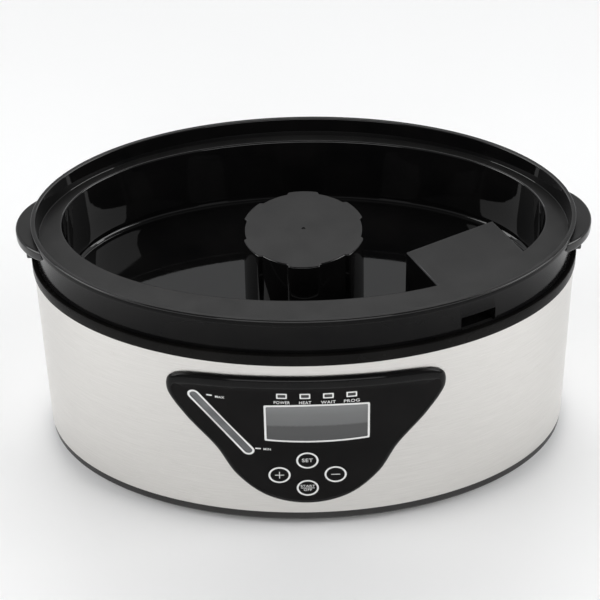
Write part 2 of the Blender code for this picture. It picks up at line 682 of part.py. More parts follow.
def make_reservoir_gasket():
    top = TRAY_UNDER_Z - GAP
    gasket = loft("reservoir_gasket", [tank_oval(-2.0, top - GASKET), tank_oval(5.5, top - GASKET),
                                       tank_oval(5.5, top), tank_oval(-2.0, top)], SILICONE)
    for x, y in tank_screws():
        cut(gasket, rod("gasket_notch_%d_%d" % (x, y), BOSS_RADIUS + GAP, 6.0, (x, y, top), segments=12))
    return gasket


def make_reservoir_screws():
    for index, (x, y) in enumerate(tank_screws()):
        screw("reservoir_screw_%d" % (index + 1), SELF_TAP_HEAD, SELF_TAP_HEAD_HEIGHT, SELF_TAP_SHANK, 4.6,
              (x, y, TANK_FLANGE_Z - TANK_FLANGE_THICKNESS - GAP), (0, 0, 1))


def clamp_top():
    """The top of the clamp, under the plate's flange and its gasket."""
    return TANK_FLOOR_Z - 3 * GAP - GASKET - HEATER_FLANGE_THICKNESS


def heater_screw_places():
    reach = HEATER_RADIUS + HEATER_FLANGE + 7.0
    return [(-reach, 0.0), (reach, 0.0)]


def make_heater():
    floor = TANK_FLOOR_Z
    gasket_top = floor - GAP
    flange_top = gasket_top - GASKET - GAP
    rim = HEATER_RADIUS + HEATER_FLANGE
    under = flange_top - HEATER_FLANGE_THICKNESS
    turned("heater_gasket", [(rim, gasket_top), (rim, gasket_top - GASKET),
                             (HEATER_RADIUS + 1.0, gasket_top - GASKET), (HEATER_RADIUS + 1.0, gasket_top)],
           (0, 0, 0), SILICONE)
    turned("heater_plate", [(0.0, floor + 6.0), (HEATER_RADIUS - 2.0, floor + 6.0),
                            (HEATER_RADIUS, floor + 4.0), (HEATER_RADIUS, flange_top), (rim, flange_top),
                            (rim, under),
                            (0.0, under)], (0, 0, 0), ALUMINIUM)
    top = clamp_top()
    middle = top - CLAMP_THICKNESS / 2
    clamp = rod("heater_clamp", rim, CLAMP_THICKNESS, (0, 0, middle), finish=ZINC)
    for x, y in heater_screw_places():
        join(clamp, box("clamp_ear_%d" % x, (16.0, 12.0, CLAMP_THICKNESS),
                        (x - math.copysign(4.0, x), 0.0, middle)))
        cut(clamp, rod("clamp_way_%d" % x, 1.8, 6.0, (x, y, top), segments=12))
        screw("heater_screw_" + ("left" if x < 0 else "right"), SELF_TAP_HEAD, SELF_TAP_HEAD_HEIGHT,
              SELF_TAP_SHANK, 5.0, (x, y, top - CLAMP_THICKNESS - GAP), (0, 0, 1))
    cut(clamp, rod("clamp_window", ELEMENT_RADIUS + ELEMENT_THICKNESS + 2.0, 6.0, (0, 0, top)))
    make_element(under)
    turned("thermostat", [(0.0, under - GAP), (9.0, under - GAP), (9.0, under - 4.0), (7.5, under - 9.0),
                          (0.0, under - 9.0)], (0, 0, 0), GREY, 24)
    rod("thermal_fuse", 1.8, 13.0, (14.4, 0.0, under - GAP - 1.8), "Y", WHITE_PLASTIC, SMALL_ROUND)


def curve_tube(name, points, radius, finish, resolution=3):
    """A tube through points, as a mesh with welded caps."""
    curve = bpy.data.curves.new(name + "_path", "CURVE")
    curve.dimensions = "3D"
    curve.bevel_depth = radius * MM
    curve.bevel_resolution = resolution
    curve.use_fill_caps = True
    spline = curve.splines.new("POLY")
    spline.points.add(len(points) - 1)
    for knot, point in zip(spline.points, points):
        knot.co = (*(Vector(point) * MM), 1.0)
    guide = bpy.data.objects.new(name + "_path", curve)
    parts.objects.link(guide)
    bpy.context.view_layer.update()
    mesh = bpy.data.meshes.new_from_object(guide.evaluated_get(bpy.context.evaluated_depsgraph_get()))
    bpy.data.objects.remove(guide)
    shape = bmesh.new()
    shape.from_mesh(mesh)
    bmesh.ops.remove_doubles(shape, verts=shape.verts, dist=0.000005)
    mesh.materials.clear()
    shape.to_mesh(mesh)
    shape.free()
    return place(name, mesh, finish)


def make_element(under):
    """A sheathed heating tube, bent to a C with its two cold ends turned down."""
    z = under - GAP - ELEMENT_THICKNESS
    points = []
    gap_angle = math.radians(30)
    for step in range(25):
        angle = gap_angle + (2 * math.pi - 2 * gap_angle) * step / 24 - math.pi / 2
        points.append((ELEMENT_RADIUS * math.cos(angle), ELEMENT_RADIUS * math.sin(angle), z))
    for end, beside in ((0, 1), (-1, -2)):
        last, before = Vector(points[end]), Vector(points[beside])
        away = (last - before).normalized()
        lead = [last + away * 2.0 + Vector((0, 0, -1.5)), last + away * 3.0 + Vector((0, 0, -4.0)),
                last + away * 3.2 + Vector((0, 0, -12.0))]
        points = list(reversed(lead)) + points if end == 0 else points + lead
    return curve_tube("heating_element", points, ELEMENT_THICKNESS, STEEL, 2)


# ---------------------------------------------------------------- control panel

def make_control_panel():
    inner = STEEL_SKIN + GAP
    panel = wall_plate("control_panel", panel_outline(), inner, PANEL_STAND_OFF, GLOSS_BLACK)
    for x, z in panel_posts():
        near = wall_y(x, PANEL_STAND_OFF - 2.0)
        far = BOARD_Y - BOARD_THICKNESS - GAP
        join(panel, rod("panel_post_%d_%d" % (x, z), 3.2, far - near, (x, (far + near) / 2, z), "Y",
                        segments=SMALL_ROUND))
        cut(panel, rod("panel_pilot_%d_%d" % (x, z), 1.2, 9.0, (x, far - 3.5, z), "Y", segments=12))
    holes = [wall_cut("lcd_hole", rectangle(LCD_X, LCD_Z, LCD_LENGTH, LCD_HEIGHT)),
             wall_cut("gauge_hole", stadium(GAUGE_LOW, GAUGE_HIGH, GAUGE_WIDTH))]
    for index in range(4):
        holes.append(wall_cut("led_hole_%d" % index, rectangle(led_x(index), LED_Z, LED_LENGTH, LED_HEIGHT)))
    for name, (x, z) in BUTTONS.items():
        holes.append(rod("button_hole_" + name, BUTTON_RADIUS, 60.0, (x, -RIM_HALF_WIDTH, z), "Y",
                         segments=BUTTON_HOLE_SIDES))
    return cut(panel, *holes)


def panel_posts():
    return [(-23.0, 69.0), (48.5, 112.0)]


def led_x(index):
    return LED_X + (index - 1.5) * LED_PITCH


def make_panel_retainer():
    """The plate inside the steel that clamps the panel."""
    inner, outer = STEEL_SKIN - STEEL_SHEET - GAP - 2.0, STEEL_SKIN - STEEL_SHEET - GAP
    plate = wall_plate("panel_retainer", panel_outline(-RETAINER_REACH), inner, outer, SATIN_BLACK)
    return cut(plate, wall_cut("retainer_window", panel_outline(PANEL_BORDER)))


def make_windows():
    inner, outer = STEEL_SKIN + GAP + 0.4, PANEL_STAND_OFF - 0.4
    wall_plate("lcd_window", rectangle(LCD_X, LCD_Z, LCD_LENGTH, LCD_HEIGHT, GAP), inner, outer, CLEAR)
    wall_plate("gauge_window", stadium(GAUGE_LOW, GAUGE_HIGH, GAUGE_WIDTH - 2 * GAP), inner, outer, CLEAR)
    for index, label in enumerate(("power", "heat", "wait", "program")):
        outline = rectangle(led_x(index), LED_Z, LED_LENGTH, LED_HEIGHT, GAP)
        near = wall_y(led_x(index), PANEL_STAND_OFF - 0.3)
        prism("led_lens_" + label, outline, near, -RIM_HALF_WIDTH + 8.0, CLEAR)


def make_buttons():
    for name, (x, z) in BUTTONS.items():
        face = wall_y(abs(x), PANEL_STAND_OFF)
        flange = wall_y(abs(x) + BUTTON_RADIUS + BUTTON_FLANGE, STEEL_SKIN + GAP) + FLANGE_GAP
        stem_end = SWITCH_TIP_Y - GAP - BUTTON_TRAVEL
        profile = [(0.0, -face), (BUTTON_RADIUS - GAP - 0.6, -face), (BUTTON_RADIUS - GAP, -face - 0.6),
                   (BUTTON_RADIUS - GAP, -flange), (BUTTON_RADIUS + BUTTON_FLANGE, -flange),
                   (BUTTON_RADIUS + BUTTON_FLANGE, -flange - 1.2),
                   (2.5, -flange - 1.2), (2.5, -stem_end), (0.0, -stem_end)]
        turned("button_" + name, profile, (x, 0.0, z), GLOSS_BLACK, ROUND, (0, -1, 0))


SWITCH_BODY = 3.4
SWITCH_TIP_Y = BOARD_Y - BOARD_THICKNESS - GAP - SWITCH_BODY - 1.0


def make_display_board():
    front = BOARD_Y - BOARD_THICKNESS
    board = box("display_board", (80.0, BOARD_THICKNESS, 102.0), (13.0, BOARD_Y - BOARD_THICKNESS / 2, 84.0),
                BOARD)
    for index, (x, z) in enumerate(panel_posts()):
        cut(board, rod("board_way_%d" % index, 1.6, 8.0, (x, front, z), "Y", segments=12))
        screw("board_screw_%d" % (index + 1), 3.0, 1.8, 0.9, 7.0, (x, BOARD_Y + GAP, z), (0, -1, 0))
    for name, (x, z) in BUTTONS.items():
        switch = box("switch_" + name, (6.0, SWITCH_BODY, 6.0), (x, front - GAP - SWITCH_BODY / 2, z), GREY)
        join(switch, rod("plunger_" + name, 1.6, 2.0, (x, SWITCH_TIP_Y + 1.0, z), "Y", segments=12))
    box("lcd_module", (74.0, 5.0, 36.0), (LCD_X, front - GAP - 2.5, LCD_Z), GREY)
    rod("buzzer", 6.0, 6.0, (38.0, front - GAP - 3.0, 52.0), "Y", SATIN_BLACK, 24)


# ---------------------------------------------------------------- water gauge

def gauge_ends():
    """The tube's axis runs behind the window, clear of the panel and the steel."""
    clear = GAUGE_TUBE_RADIUS + 1.2
    ends = []
    for x, z in (GAUGE_LOW, GAUGE_HIGH):
        ends.append(Vector((x, wall_y(x, 0.0) + clear, z)))
    along = (ends[1] - ends[0]).normalized()
    return ends[0] - along * TUBE_PLUG, ends[1] + along * (TUBE_CAP + 2.5), along


def make_gauge():
    low, high, along = gauge_ends()
    middle, length = (low + high) / 2, (high - low).length
    tube = rod("gauge_tube", GAUGE_TUBE_RADIUS, length, middle, along, CLEAR, 20)
    bore_low = low + along * TUBE_PLUG
    bore_length = length - TUBE_PLUG - TUBE_CAP
    cut(tube, rod("tube_bore", GAUGE_TUBE_RADIUS - TUBE_WALL, bore_length, bore_low + along * bore_length / 2,
                  along, segments=20),
        rod("tube_inlet", 1.5, 2.0 * length, middle, along, segments=12))
    start = bore_low + along * GAP
    float_radius = GAUGE_TUBE_RADIUS - TUBE_WALL - GAP
    rod("gauge_float", float_radius, FLOAT_LENGTH, start + along * FLOAT_LENGTH / 2, along, RED, 16)
    spigot = Vector(SPIGOT) + Vector((0.0, -2.0 - GAP, 0.0))
    begin = low - along * GAP
    route = [begin, begin - along * 4.0]
    corner = begin - along * 7.0
    for step in range(1, 9):
        t = step / 8
        route.append(route[1] * (1 - t) ** 2 + (corner + Vector((-2.0, 10.0, -3.0))) * 2 * t * (1 - t)
                     + (spigot + Vector((0.0, -4.0, 0.0))) * t * t)
    route.append(spigot)
    curve_tube("gauge_hose", route, HOSE_RADIUS, SILICONE, 2)


# ---------------------------------------------------------------- power parts

def board_corners():
    x, y, length, width = POWER_BOARD
    return [(x + i * (length / 2 - 5.0), y + k * (width / 2 - 5.0)) for i in (-1, 1) for k in (-1, 1)]


def make_power_parts():
    x, y, length, width = POWER_BOARD
    top = BOARD_SEAT_Z + BOARD_THICKNESS
    box("power_board", (length, width, BOARD_THICKNESS), (x, y, BOARD_SEAT_Z + BOARD_THICKNESS / 2), BOARD)
    core = box("transformer", (34.0, 26.0, 28.0), (x - 16.0, y, top + GAP + 14.0), GREY)
    join(core, box("winding", (22.0, 34.0, 20.0), (x - 16.0, y, top + GAP + 14.0)))
    box("relay", (19.0, 15.5, 15.0), (x + 22.0, y + 10.0, top + GAP + 7.5), WHITE_PLASTIC)
    back = RIM_HALF_WIDTH
    outer = back + STEEL_SKIN + GAP
    inner = back + STEEL_SKIN - STEEL_SHEET - 2 * GAP
    end, start = outer + CORD_FLANGE, inner - 3.0
    turned("cord_gland", [(9.0, outer), (9.0, end - 1.2), (7.6, end), (CORD_BORE, end), (CORD_BORE, start),
                          (8.5, start), (8.5, inner), (CORD_NECK, inner), (CORD_NECK, outer)],
           (0.0, 0.0, CORD_Z), RUBBER, 20, "Y")


make_upper_housing()
make_trim_ring()
make_steel_shell()
make_base_pan()
make_feet()
make_base_screws()
make_handle("left_handle", -1)
make_handle("right_handle", 1)
make_steam_cap()
make_inlet_chute()
make_reservoir()
make_reservoir_gasket()
make_reservoir_screws()
make_heater()
make_control_panel()
make_panel_retainer()
make_windows()
make_buttons()
make_display_board()
make_gauge()
make_power_parts()
bpy.context.view_layer.update()
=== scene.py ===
"""Looks of the yogurt maker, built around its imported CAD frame. Metres, +Z up, panel towards -Y."""

import math

import bmesh
import bpy
from mathutils import Matrix, Vector


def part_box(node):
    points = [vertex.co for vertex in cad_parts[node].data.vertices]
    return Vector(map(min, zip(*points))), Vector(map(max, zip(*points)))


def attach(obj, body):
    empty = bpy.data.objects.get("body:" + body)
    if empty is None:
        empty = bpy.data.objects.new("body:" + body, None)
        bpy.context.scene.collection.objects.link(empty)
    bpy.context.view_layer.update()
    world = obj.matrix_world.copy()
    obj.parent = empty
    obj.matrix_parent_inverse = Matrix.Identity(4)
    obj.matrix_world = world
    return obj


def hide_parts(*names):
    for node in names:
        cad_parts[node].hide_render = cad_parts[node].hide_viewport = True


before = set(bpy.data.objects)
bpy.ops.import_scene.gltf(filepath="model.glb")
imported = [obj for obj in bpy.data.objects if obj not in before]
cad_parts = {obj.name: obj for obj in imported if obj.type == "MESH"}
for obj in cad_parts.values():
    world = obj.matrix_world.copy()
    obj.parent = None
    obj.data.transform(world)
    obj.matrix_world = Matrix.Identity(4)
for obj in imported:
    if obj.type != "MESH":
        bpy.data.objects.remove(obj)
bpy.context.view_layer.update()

MM = 0.001
FINE = 240
ROUND = 96

# Sizes shared with the frame, in millimetres.
RIM_A, RIM_B = 189.0, 115.2
TRAY_A, TRAY_B, TRAY_Y = 169.5, 90.0, 13.0
RIM_TOP, LEDGE, TRAY_FLOOR = 190.5, 176.5, 125.5
WALL = 2.5
HOUSING_SKIN = -1.2
STEEL_SKIN = 0.85
TRIM_SKIN, TRIM_TOP = 1.9, 161.5
STEEL_LOW, STEEL_HIGH = 13.0, 152.6
PAN_SKIN = 0.3
PANEL_SKIN = 4.6
FACE_SKIN = 4.25
CAP_R, CAP_NOTCH, CAP_EDGE = 43.3, 2.2, 1.0
COLLAR_R, COLLAR_HEIGHT = 35.0, 5.0
INLET_TURN = math.radians(28.5)
BUTTON_R = 7.7
BUTTONS = {"set": (0.0, 68.1), "plus": (-19.4, 53.8), "minus": (19.4, 53.8), "start": (0.0, 41.4)}
LCD = (7.0, 102.7, 71.5, 32.5)
LEDS = {"power": -16.55, "heat": -0.85, "wait": 14.85, "program": 30.55}
LED_Z, LED_LENGTH, LED_HEIGHT = 128.0, 7.2, 4.6
LABEL_Z = 122.0
PRINT_HEIGHT, LETTER_HEIGHT, PRINT_GAP = 0.12, 0.1, 0.02
GAUGE_LOW, GAUGE_HIGH, GAUGE_WIDTH = (-40.4, 76.3), (-75.8, 122.6), 8.5
HANDLE_REACH, HANDLE_R, HANDLE_TOP, HANDLE_THICK = 200.0, 37.0, 184.5, 8.0
FEET = {"front_left": (-118, -58), "front_right": (118, -58),
        "rear_left": (-118, 58), "rear_right": (118, 58)}
CORD_Z = 34.0
HOUSING_FOOT = 158.0
INLET_ALONG, INLET_ACROSS = (48.0, 119.0), (58.0, 118.0)
CAP_ROOM = 38.4
KEY_FLANGE = 8.9
POSTS = ((-163, -34), (163, -34), (-104, 68), (104, 68))
PANEL_CORNERS = [(0.0, 25.0), (28.0, 31.6), (49.2, 50.5), (63.2, 76.0), (83.2, 101.5), (94.5, 123.0),
                 (86.5, 137.4), (48.0, 141.3), (0.0, 142.3)]


# ---------------------------------------------------------------- materials

def new_material(name):
    """A node material and its Principled BSDF."""
    made = bpy.data.materials.new(name)
    made.use_nodes = True
    tree = made.node_tree
    return made, tree, tree.nodes["Principled BSDF"]


def node(tree, kind, **values):
    """Adds a shader node and sets its properties."""
    made = tree.nodes.new(kind)
    for key, value in values.items():
        setattr(made, key, value)
    return made


def noise(tree, scale, detail=3.0, stretch=(1.0, 1.0, 1.0), roughness=0.5):
    """Noise in object space, stretched along the axes."""
    place = node(tree, "ShaderNodeTexCoord")
    mapping = node(tree, "ShaderNodeMapping")
    mapping.inputs["Scale"].default_value = stretch
    made = node(tree, "ShaderNodeTexNoise")
    made.inputs["Scale"].default_value = scale
    made.inputs["Detail"].default_value = detail
    made.inputs["Roughness"].default_value = roughness
    tree.links.new(place.outputs["Object"], mapping.inputs["Vector"])
    tree.links.new(mapping.outputs["Vector"], made.inputs["Vector"])
    return made.outputs["Fac"]


def ramp(tree, factor, low, high, start=0.3, end=0.7):
    """Maps a factor onto two colours, or onto two grey levels."""
    made = node(tree, "ShaderNodeValToRGB")
    for stop, position, value in zip(made.color_ramp.elements, (start, end), (low, high)):
        stop.position = position
        stop.color = (*value, 1.0) if isinstance(value, tuple) else (value, value, value, 1.0)
    tree.links.new(factor, made.inputs["Fac"])
    return made.outputs["Color"]


def bump(tree, shader, height, strength, distance):
    """Drives the shader's normal from a height."""
    made = node(tree, "ShaderNodeBump")
    made.inputs["Strength"].default_value = strength
    made.inputs["Distance"].default_value = distance
    tree.links.new(height, made.inputs["Height"])
    tree.links.new(made.outputs["Normal"], shader.inputs["Normal"])


def moulded(name, low, high, rough, grain=900.0, grain_strength=0.05, wave=0.0, specular=0.5):
    """Moulded plastic: slight colour and roughness variation, a fine grain and a faint waviness."""
    made, tree, shader = new_material(name)
    shader.inputs["Specular IOR Level"].default_value = specular
    mottled = noise(tree, 35.0, 4.0)
    tree.links.new(ramp(tree, mottled, low, high), shader.inputs["Base Color"])
    tree.links.new(ramp(tree, noise(tree, 60.0, 5.0), rough[0], rough[1]), shader.inputs["Roughness"])
    fine = noise(tree, grain, 2.0)
    if wave:
        total = node(tree, "ShaderNodeMath", operation="MULTIPLY_ADD")
        total.inputs[1].default_value = wave
        tree.links.new(noise(tree, 14.0, 1.0), total.inputs[0])
        tree.links.new(fine, total.inputs[2])
        fine = total.outputs[0]
    bump(tree, shader, fine, grain_strength, 0.0002)
    return made


def metal(name, low, high, rough, stretch, scale, anisotropic=0.0, strength=0.06):
    """Worked metal with streaks along one direction."""
    made, tree, shader = new_material(name)
    shader.inputs["Metallic"].default_value = 1.0
    shader.inputs["Anisotropic"].default_value = anisotropic
    streaks = noise(tree, scale, 6.0, stretch, 0.65)
    tree.links.new(ramp(tree, streaks, low, high, 0.25, 0.75), shader.inputs["Base Color"])
    tree.links.new(ramp(tree, streaks, rough[0], rough[1]), shader.inputs["Roughness"])
    bump(tree, shader, streaks, strength, 0.00012)
    return made


def make_materials():
    made = {
        "gloss_black": moulded("gloss_black_plastic", (0.003, 0.003, 0.0032), (0.0055, 0.0052, 0.0052),
                               (0.025, 0.045), 420.0, 0.012, 5.0),
        "top_black": moulded("textured_top_plastic", (0.010, 0.0098, 0.0098), (0.015, 0.0147, 0.0145),
                             (0.38, 0.48), 1500.0, 0.08, 0.0, 0.2),
        "rim_black": moulded("panel_bezel_plastic", (0.003, 0.003, 0.0032), (0.005, 0.0048, 0.0048),
                             (0.05, 0.08), 420.0, 0.012, 3.0, 0.14),
        "wall_black": moulded("outer_wall_plastic", (0.003, 0.003, 0.0032), (0.0055, 0.0052, 0.0052),
                              (0.09, 0.14), 420.0, 0.012, 5.0, 0.06),
        "panel_black": moulded("panel_film", (0.0045, 0.0043, 0.0043), (0.007, 0.0065, 0.0065),
                               (0.14, 0.2), 900.0, 0.02, 2.0, 0.06),
        "satin_black": moulded("satin_black_plastic", (0.004, 0.0038, 0.0036), (0.0075, 0.007, 0.0066),
                               (0.22, 0.3), 1400.0, 0.06, 0.0, 0.06),
        "base_grey": moulded("base_grey_plastic", (0.022, 0.021, 0.021), (0.032, 0.031, 0.031),
                             (0.3, 0.42), 1400.0, 0.1, 0.0, 0.25),
        "rubber": moulded("black_rubber_grain", (0.015, 0.015, 0.015), (0.03, 0.03, 0.03),
                          (0.7, 0.9), 1800.0, 0.25),
        "silicone": moulded("white_silicone_skin", (0.62, 0.61, 0.57), (0.75, 0.74, 0.7),
                            (0.45, 0.6), 900.0, 0.08),
        "white": moulded("white_polypropylene", (0.66, 0.66, 0.64), (0.78, 0.78, 0.76),
                         (0.4, 0.55), 1100.0, 0.1),
        "grey": moulded("grey_nylon", (0.26, 0.27, 0.27), (0.36, 0.37, 0.37), (0.4, 0.55), 1100.0, 0.1),
        "float": moulded("float_plastic", (0.55, 0.56, 0.56), (0.68, 0.69, 0.69), (0.3, 0.4), 900.0, 0.05),
        "board": moulded("circuit_board_mask", (0.008, 0.09, 0.035), (0.02, 0.16, 0.07),
                         (0.35, 0.5), 700.0, 0.1),
        "print": moulded("white_print", (0.74, 0.74, 0.73), (0.84, 0.84, 0.83), (0.3, 0.4), 2400.0, 0.04),
        "steel": metal("brushed_steel_sheet", (0.66, 0.645, 0.62), (0.80, 0.785, 0.76), (0.26, 0.40),
                       (0.02, 0.02, 1.0), 2600.0, 0.35),
        "plain_steel": metal("drawn_steel", (0.42, 0.41, 0.39), (0.58, 0.57, 0.55), (0.3, 0.45),
                             (1.0, 1.0, 1.0), 300.0),
        "aluminium": metal("cast_aluminium", (0.62, 0.62, 0.63), (0.76, 0.76, 0.77), (0.35, 0.5),
                           (1.0, 1.0, 1.0), 220.0),
        "zinc": metal("zinc_plate", (0.5, 0.5, 0.47), (0.66, 0.66, 0.63), (0.3, 0.45),
                      (1.0, 1.0, 1.0), 500.0),
        "lamination": metal("iron_lamination", (0.18, 0.18, 0.18), (0.3, 0.29, 0.28), (0.4, 0.55),
                            (1.0, 1.0, 60.0), 40.0),
    }
    return made


def lcd_material():
    """An unlit liquid-crystal screen: a grey sheet behind a gloss pane, with a painted reflection that makes
    it darker towards its foot.
    """
    made, tree, shader = new_material("lcd_screen")
    place = node(tree, "ShaderNodeTexCoord")
    split = node(tree, "ShaderNodeSeparateXYZ")
    tree.links.new(place.outputs["Object"], split.inputs[0])
    # Height up the screen, which drives a painted reflection: darker towards the foot, lighter towards the
    # top.
    height = node(tree, "ShaderNodeMapRange")
    height.inputs["From Min"].default_value = (LCD[1] - LCD[3] / 2) * MM
    height.inputs["From Max"].default_value = (LCD[1] + LCD[3] / 2) * MM
    tree.links.new(split.outputs["Z"], height.inputs["Value"])
    grain = node(tree, "ShaderNodeMath", operation="MULTIPLY_ADD")
    grain.inputs[1].default_value = 0.03
    tree.links.new(noise(tree, 500.0, 2.0), grain.inputs[0])
    tree.links.new(height.outputs[0], grain.inputs[2])
    film_and_painted_reflection = ramp(tree, grain.outputs[0], (0.04, 0.041, 0.042), (0.18, 0.185, 0.186), 0.0, 1.0)
    stops = film_and_painted_reflection.node.color_ramp.elements
    # These stops put a dark step at about two fifths of the height: a painted reflection, not the screen's
    # own grey.
    for position, level in ((0.42, 0.046), (0.47, 0.115), (0.75, 0.135)):
        stops.new(position).color = (level, level * 1.02, level * 1.03, 1.0)
    tree.links.new(film_and_painted_reflection, shader.inputs["Base Color"])
    shader.inputs["Roughness"].default_value = 0.12
    shader.inputs["Coat Weight"].default_value = 0.5
    return made


def smoked_window():
    """A dull translucent pane over the level gauge."""
    made, tree, shader = new_material("gauge_pane")
    tree.links.new(ramp(tree, noise(tree, 90.0, 3.0), (0.075, 0.078, 0.082), (0.13, 0.134, 0.138)),
                   shader.inputs["Base Color"])
    shader.inputs["Roughness"].default_value = 0.22
    shader.inputs["Coat Weight"].default_value = 0.4
    return made


def lens_material():
    made, tree, shader = new_material("led_lens_plastic")
    tree.links.new(ramp(tree, noise(tree, 400.0, 2.0), (0.03, 0.03, 0.03), (0.06, 0.06, 0.06)),
                   shader.inputs["Base Color"])
    shader.inputs["Roughness"].default_value = 0.25
    return made


# ---------------------------------------------------------------- mesh helpers

def finish_mesh(name, shape, material, smooth=35.0):
    bmesh.ops.recalc_face_normals(shape, faces=shape.faces)
    mesh = bpy.data.meshes.new(name)
    shape.to_mesh(mesh)
    shape.free()
    made = bpy.data.objects.new(name, mesh)
    bpy.context.scene.collection.objects.link(made)
    if material:
        mesh.materials.append(material)
    shade(made, smooth)
    return made


def shade(made, smooth=35.0):
    made.data.shade_smooth()
    made.data.set_sharp_from_angle(angle=math.radians(smooth))


def oval(a, b, offset, z, centre_y=0.0, count=FINE):
    """Points of an ellipse moved outward along its normal."""
    points = []
    for step in range(count):
        angle = 2 * math.pi * step / count
        cosine, sine = math.cos(angle), math.sin(angle)
        normal = Vector((cosine * b, sine * a)).normalized()
        points.append(Vector((a * cosine + offset * normal.x,
                              centre_y + b * sine + offset * normal.y, z)) * MM)
    return points


def rim(offset, z):
    return oval(RIM_A, RIM_B, offset, z)


def tray(offset, z):
    return oval(TRAY_A, TRAY_B, offset, z, TRAY_Y)


def circle(radius, z):
    return oval(radius, radius, 0.0, z)


def upright_circle(x, z, radius, y, count=ROUND):
    """A circle that faces along Y."""
    angles = [2 * math.pi * step / count for step in range(count)]
    return [Vector((x + radius * math.cos(a), y, z + radius * math.sin(a))) * MM for a in angles]


def rounded(corners, steps=5):
    """A profile of (offset, z, radius) corners, each turned into an arc."""
    made = []
    count = len(corners)
    for i, (x, z, radius) in enumerate(corners):
        here = Vector((x, z))
        before = Vector(corners[i - 1][:2]) - here
        after = Vector(corners[(i + 1) % count][:2]) - here
        if radius <= 0 or i in (0, count - 1):
            made.append(here)
            continue
        half = before.angle(after) / 2
        reach = min(radius / math.tan(half), before.length * 0.49, after.length * 0.49)
        start, end = here + before.normalized() * reach, here + after.normalized() * reach
        for step in range(steps + 1):
            t = step / steps
            made.append(start * (1 - t) ** 2 + here * 2 * t * (1 - t) + end * t * t)
    return made


def loft(name, rings, material=None, closed=True, smooth=35.0):
    """Skins rings of equal count. A closed loft joins its last ring to its first; an open one is capped."""
    shape = bmesh.new()
    rows = [[shape.verts.new(point) for point in ring] for ring in rings]
    pairs = list(zip(rows, rows[1:]))
    if closed:
        pairs.append((rows[-1], rows[0]))
    else:
        shape.faces.new(rows[0])
        shape.faces.new(rows[-1])
    for lower, upper in pairs:
        for i in range(len(lower)):
            j = (i + 1) % len(lower)
            shape.faces.new((lower[i], lower[j], upper[j], upper[i]))
    return finish_mesh(name, shape, material, smooth)


def band(name, family, profile, material, smooth=35.0):
    """A closed profile of (offset, z) points swept around an oval."""
    return loft(name, [family(p.x, p.y) for p in profile], material, smooth=smooth)


def block(name, size, centre, turn=0.0, radius=0.0, steps=3, material=None):
    """A box whose edges are all rounded."""
    shape = bmesh.new()
    bmesh.ops.create_cube(shape, size=1.0)
    bmesh.ops.scale(shape, vec=Vector(size) * MM, verts=shape.verts)
    if radius:
        bmesh.ops.bevel(shape, geom=shape.edges, offset=radius * MM, segments=steps, affect="EDGES",
                        profile=0.5)
    place = Matrix.Translation(Vector(centre) * MM) @ Matrix.Rotation(turn, 4, "Z")
    bmesh.ops.transform(shape, matrix=place, verts=shape.verts)
    return finish_mesh(name, shape, material)


def inlet_block(name, along, across, low, high, radius=0.0):
    """A box placed along and across the inlet's own turned axes."""
    tangent = Vector((math.cos(INLET_TURN), math.sin(INLET_TURN)))
    outward = Vector((math.sin(INLET_TURN), -math.cos(INLET_TURN)))
    centre = tangent * sum(along) / 2 + outward * sum(across) / 2
    size = (along[1] - along[0], across[1] - across[0], high - low)
    return block(name, size, (centre.x, centre.y, (low + high) / 2), INLET_TURN, radius)


def rod(name, radius, length, centre, axis="Z", segments=48, material=None):
    shape = bmesh.new()
    bmesh.ops.create_cone(shape, cap_ends=True, segments=segments, radius1=radius * MM, radius2=radius * MM,
                          depth=length * MM)
    direction = Vector([float(axis == letter) for letter in "XYZ"])
    matrix = Matrix.Translation(Vector(centre) * MM) @ direction.to_track_quat("Z", "Y").to_matrix().to_4x4()
    bmesh.ops.transform(shape, matrix=matrix, verts=shape.verts)
    return finish_mesh(name, shape, material)


def apply_boolean(target, operation, *others, smooth=35.0):
    """Applies Booleans one after another and removes the helpers."""
    for other in others:
        step = target.modifiers.new("boolean", "BOOLEAN")
        step.operation = operation
        step.object = other
        step.solver = "MANIFOLD"
        bpy.context.view_layer.update()
        graph = bpy.context.evaluated_depsgraph_get()
        mesh = bpy.data.meshes.new_from_object(target.evaluated_get(graph))
        target.modifiers.clear()
        target.data = mesh
        bpy.data.objects.remove(other)
    shade(target, smooth)
    return target


def cut(target, *others):
    return apply_boolean(target, "DIFFERENCE", *others)


def wall_y(x, offset):
    """Y of the front of the rim oval, moved outward by offset, at x."""
    a, b = RIM_A + offset, RIM_B + offset
    return -b * math.sqrt(max(1 - (x / a) ** 2, 0.0))


def smooth_loop(points, steps):
    """A closed curve through the points, which passes smoothly through each."""
    made = []
    count = len(points)
    for i in range(count):
        before, start, end, after = (Vector(points[(i + k) % count]) for k in (-1, 0, 1, 2))
        for step in range(steps):
            t = step / steps
            made.append(0.5 * (2 * start + (end - before) * t
                               + (2 * before - 5 * start + 4 * end - after) * t * t
                               + (3 * start - before - 3 * end + after) * t ** 3))
    return made


def loop_normals(points):
    """Inward normals of a counterclockwise outline."""
    count = len(points)
    made = []
    for i in range(count):
        along = (points[(i + 1) % count] - points[i - 1]).normalized()
        made.append(Vector((-along.y, along.x)))
    return made


def inset_loop(points, distance):
    return [p + n * distance for p, n in zip(points, loop_normals(points))]


def panel_outline(inset=0.0, steps=14):
    left = [(-x, z) for x, z in reversed(PANEL_CORNERS[1:-1])]
    return inset_loop(smooth_loop(PANEL_CORNERS + left, steps), inset)


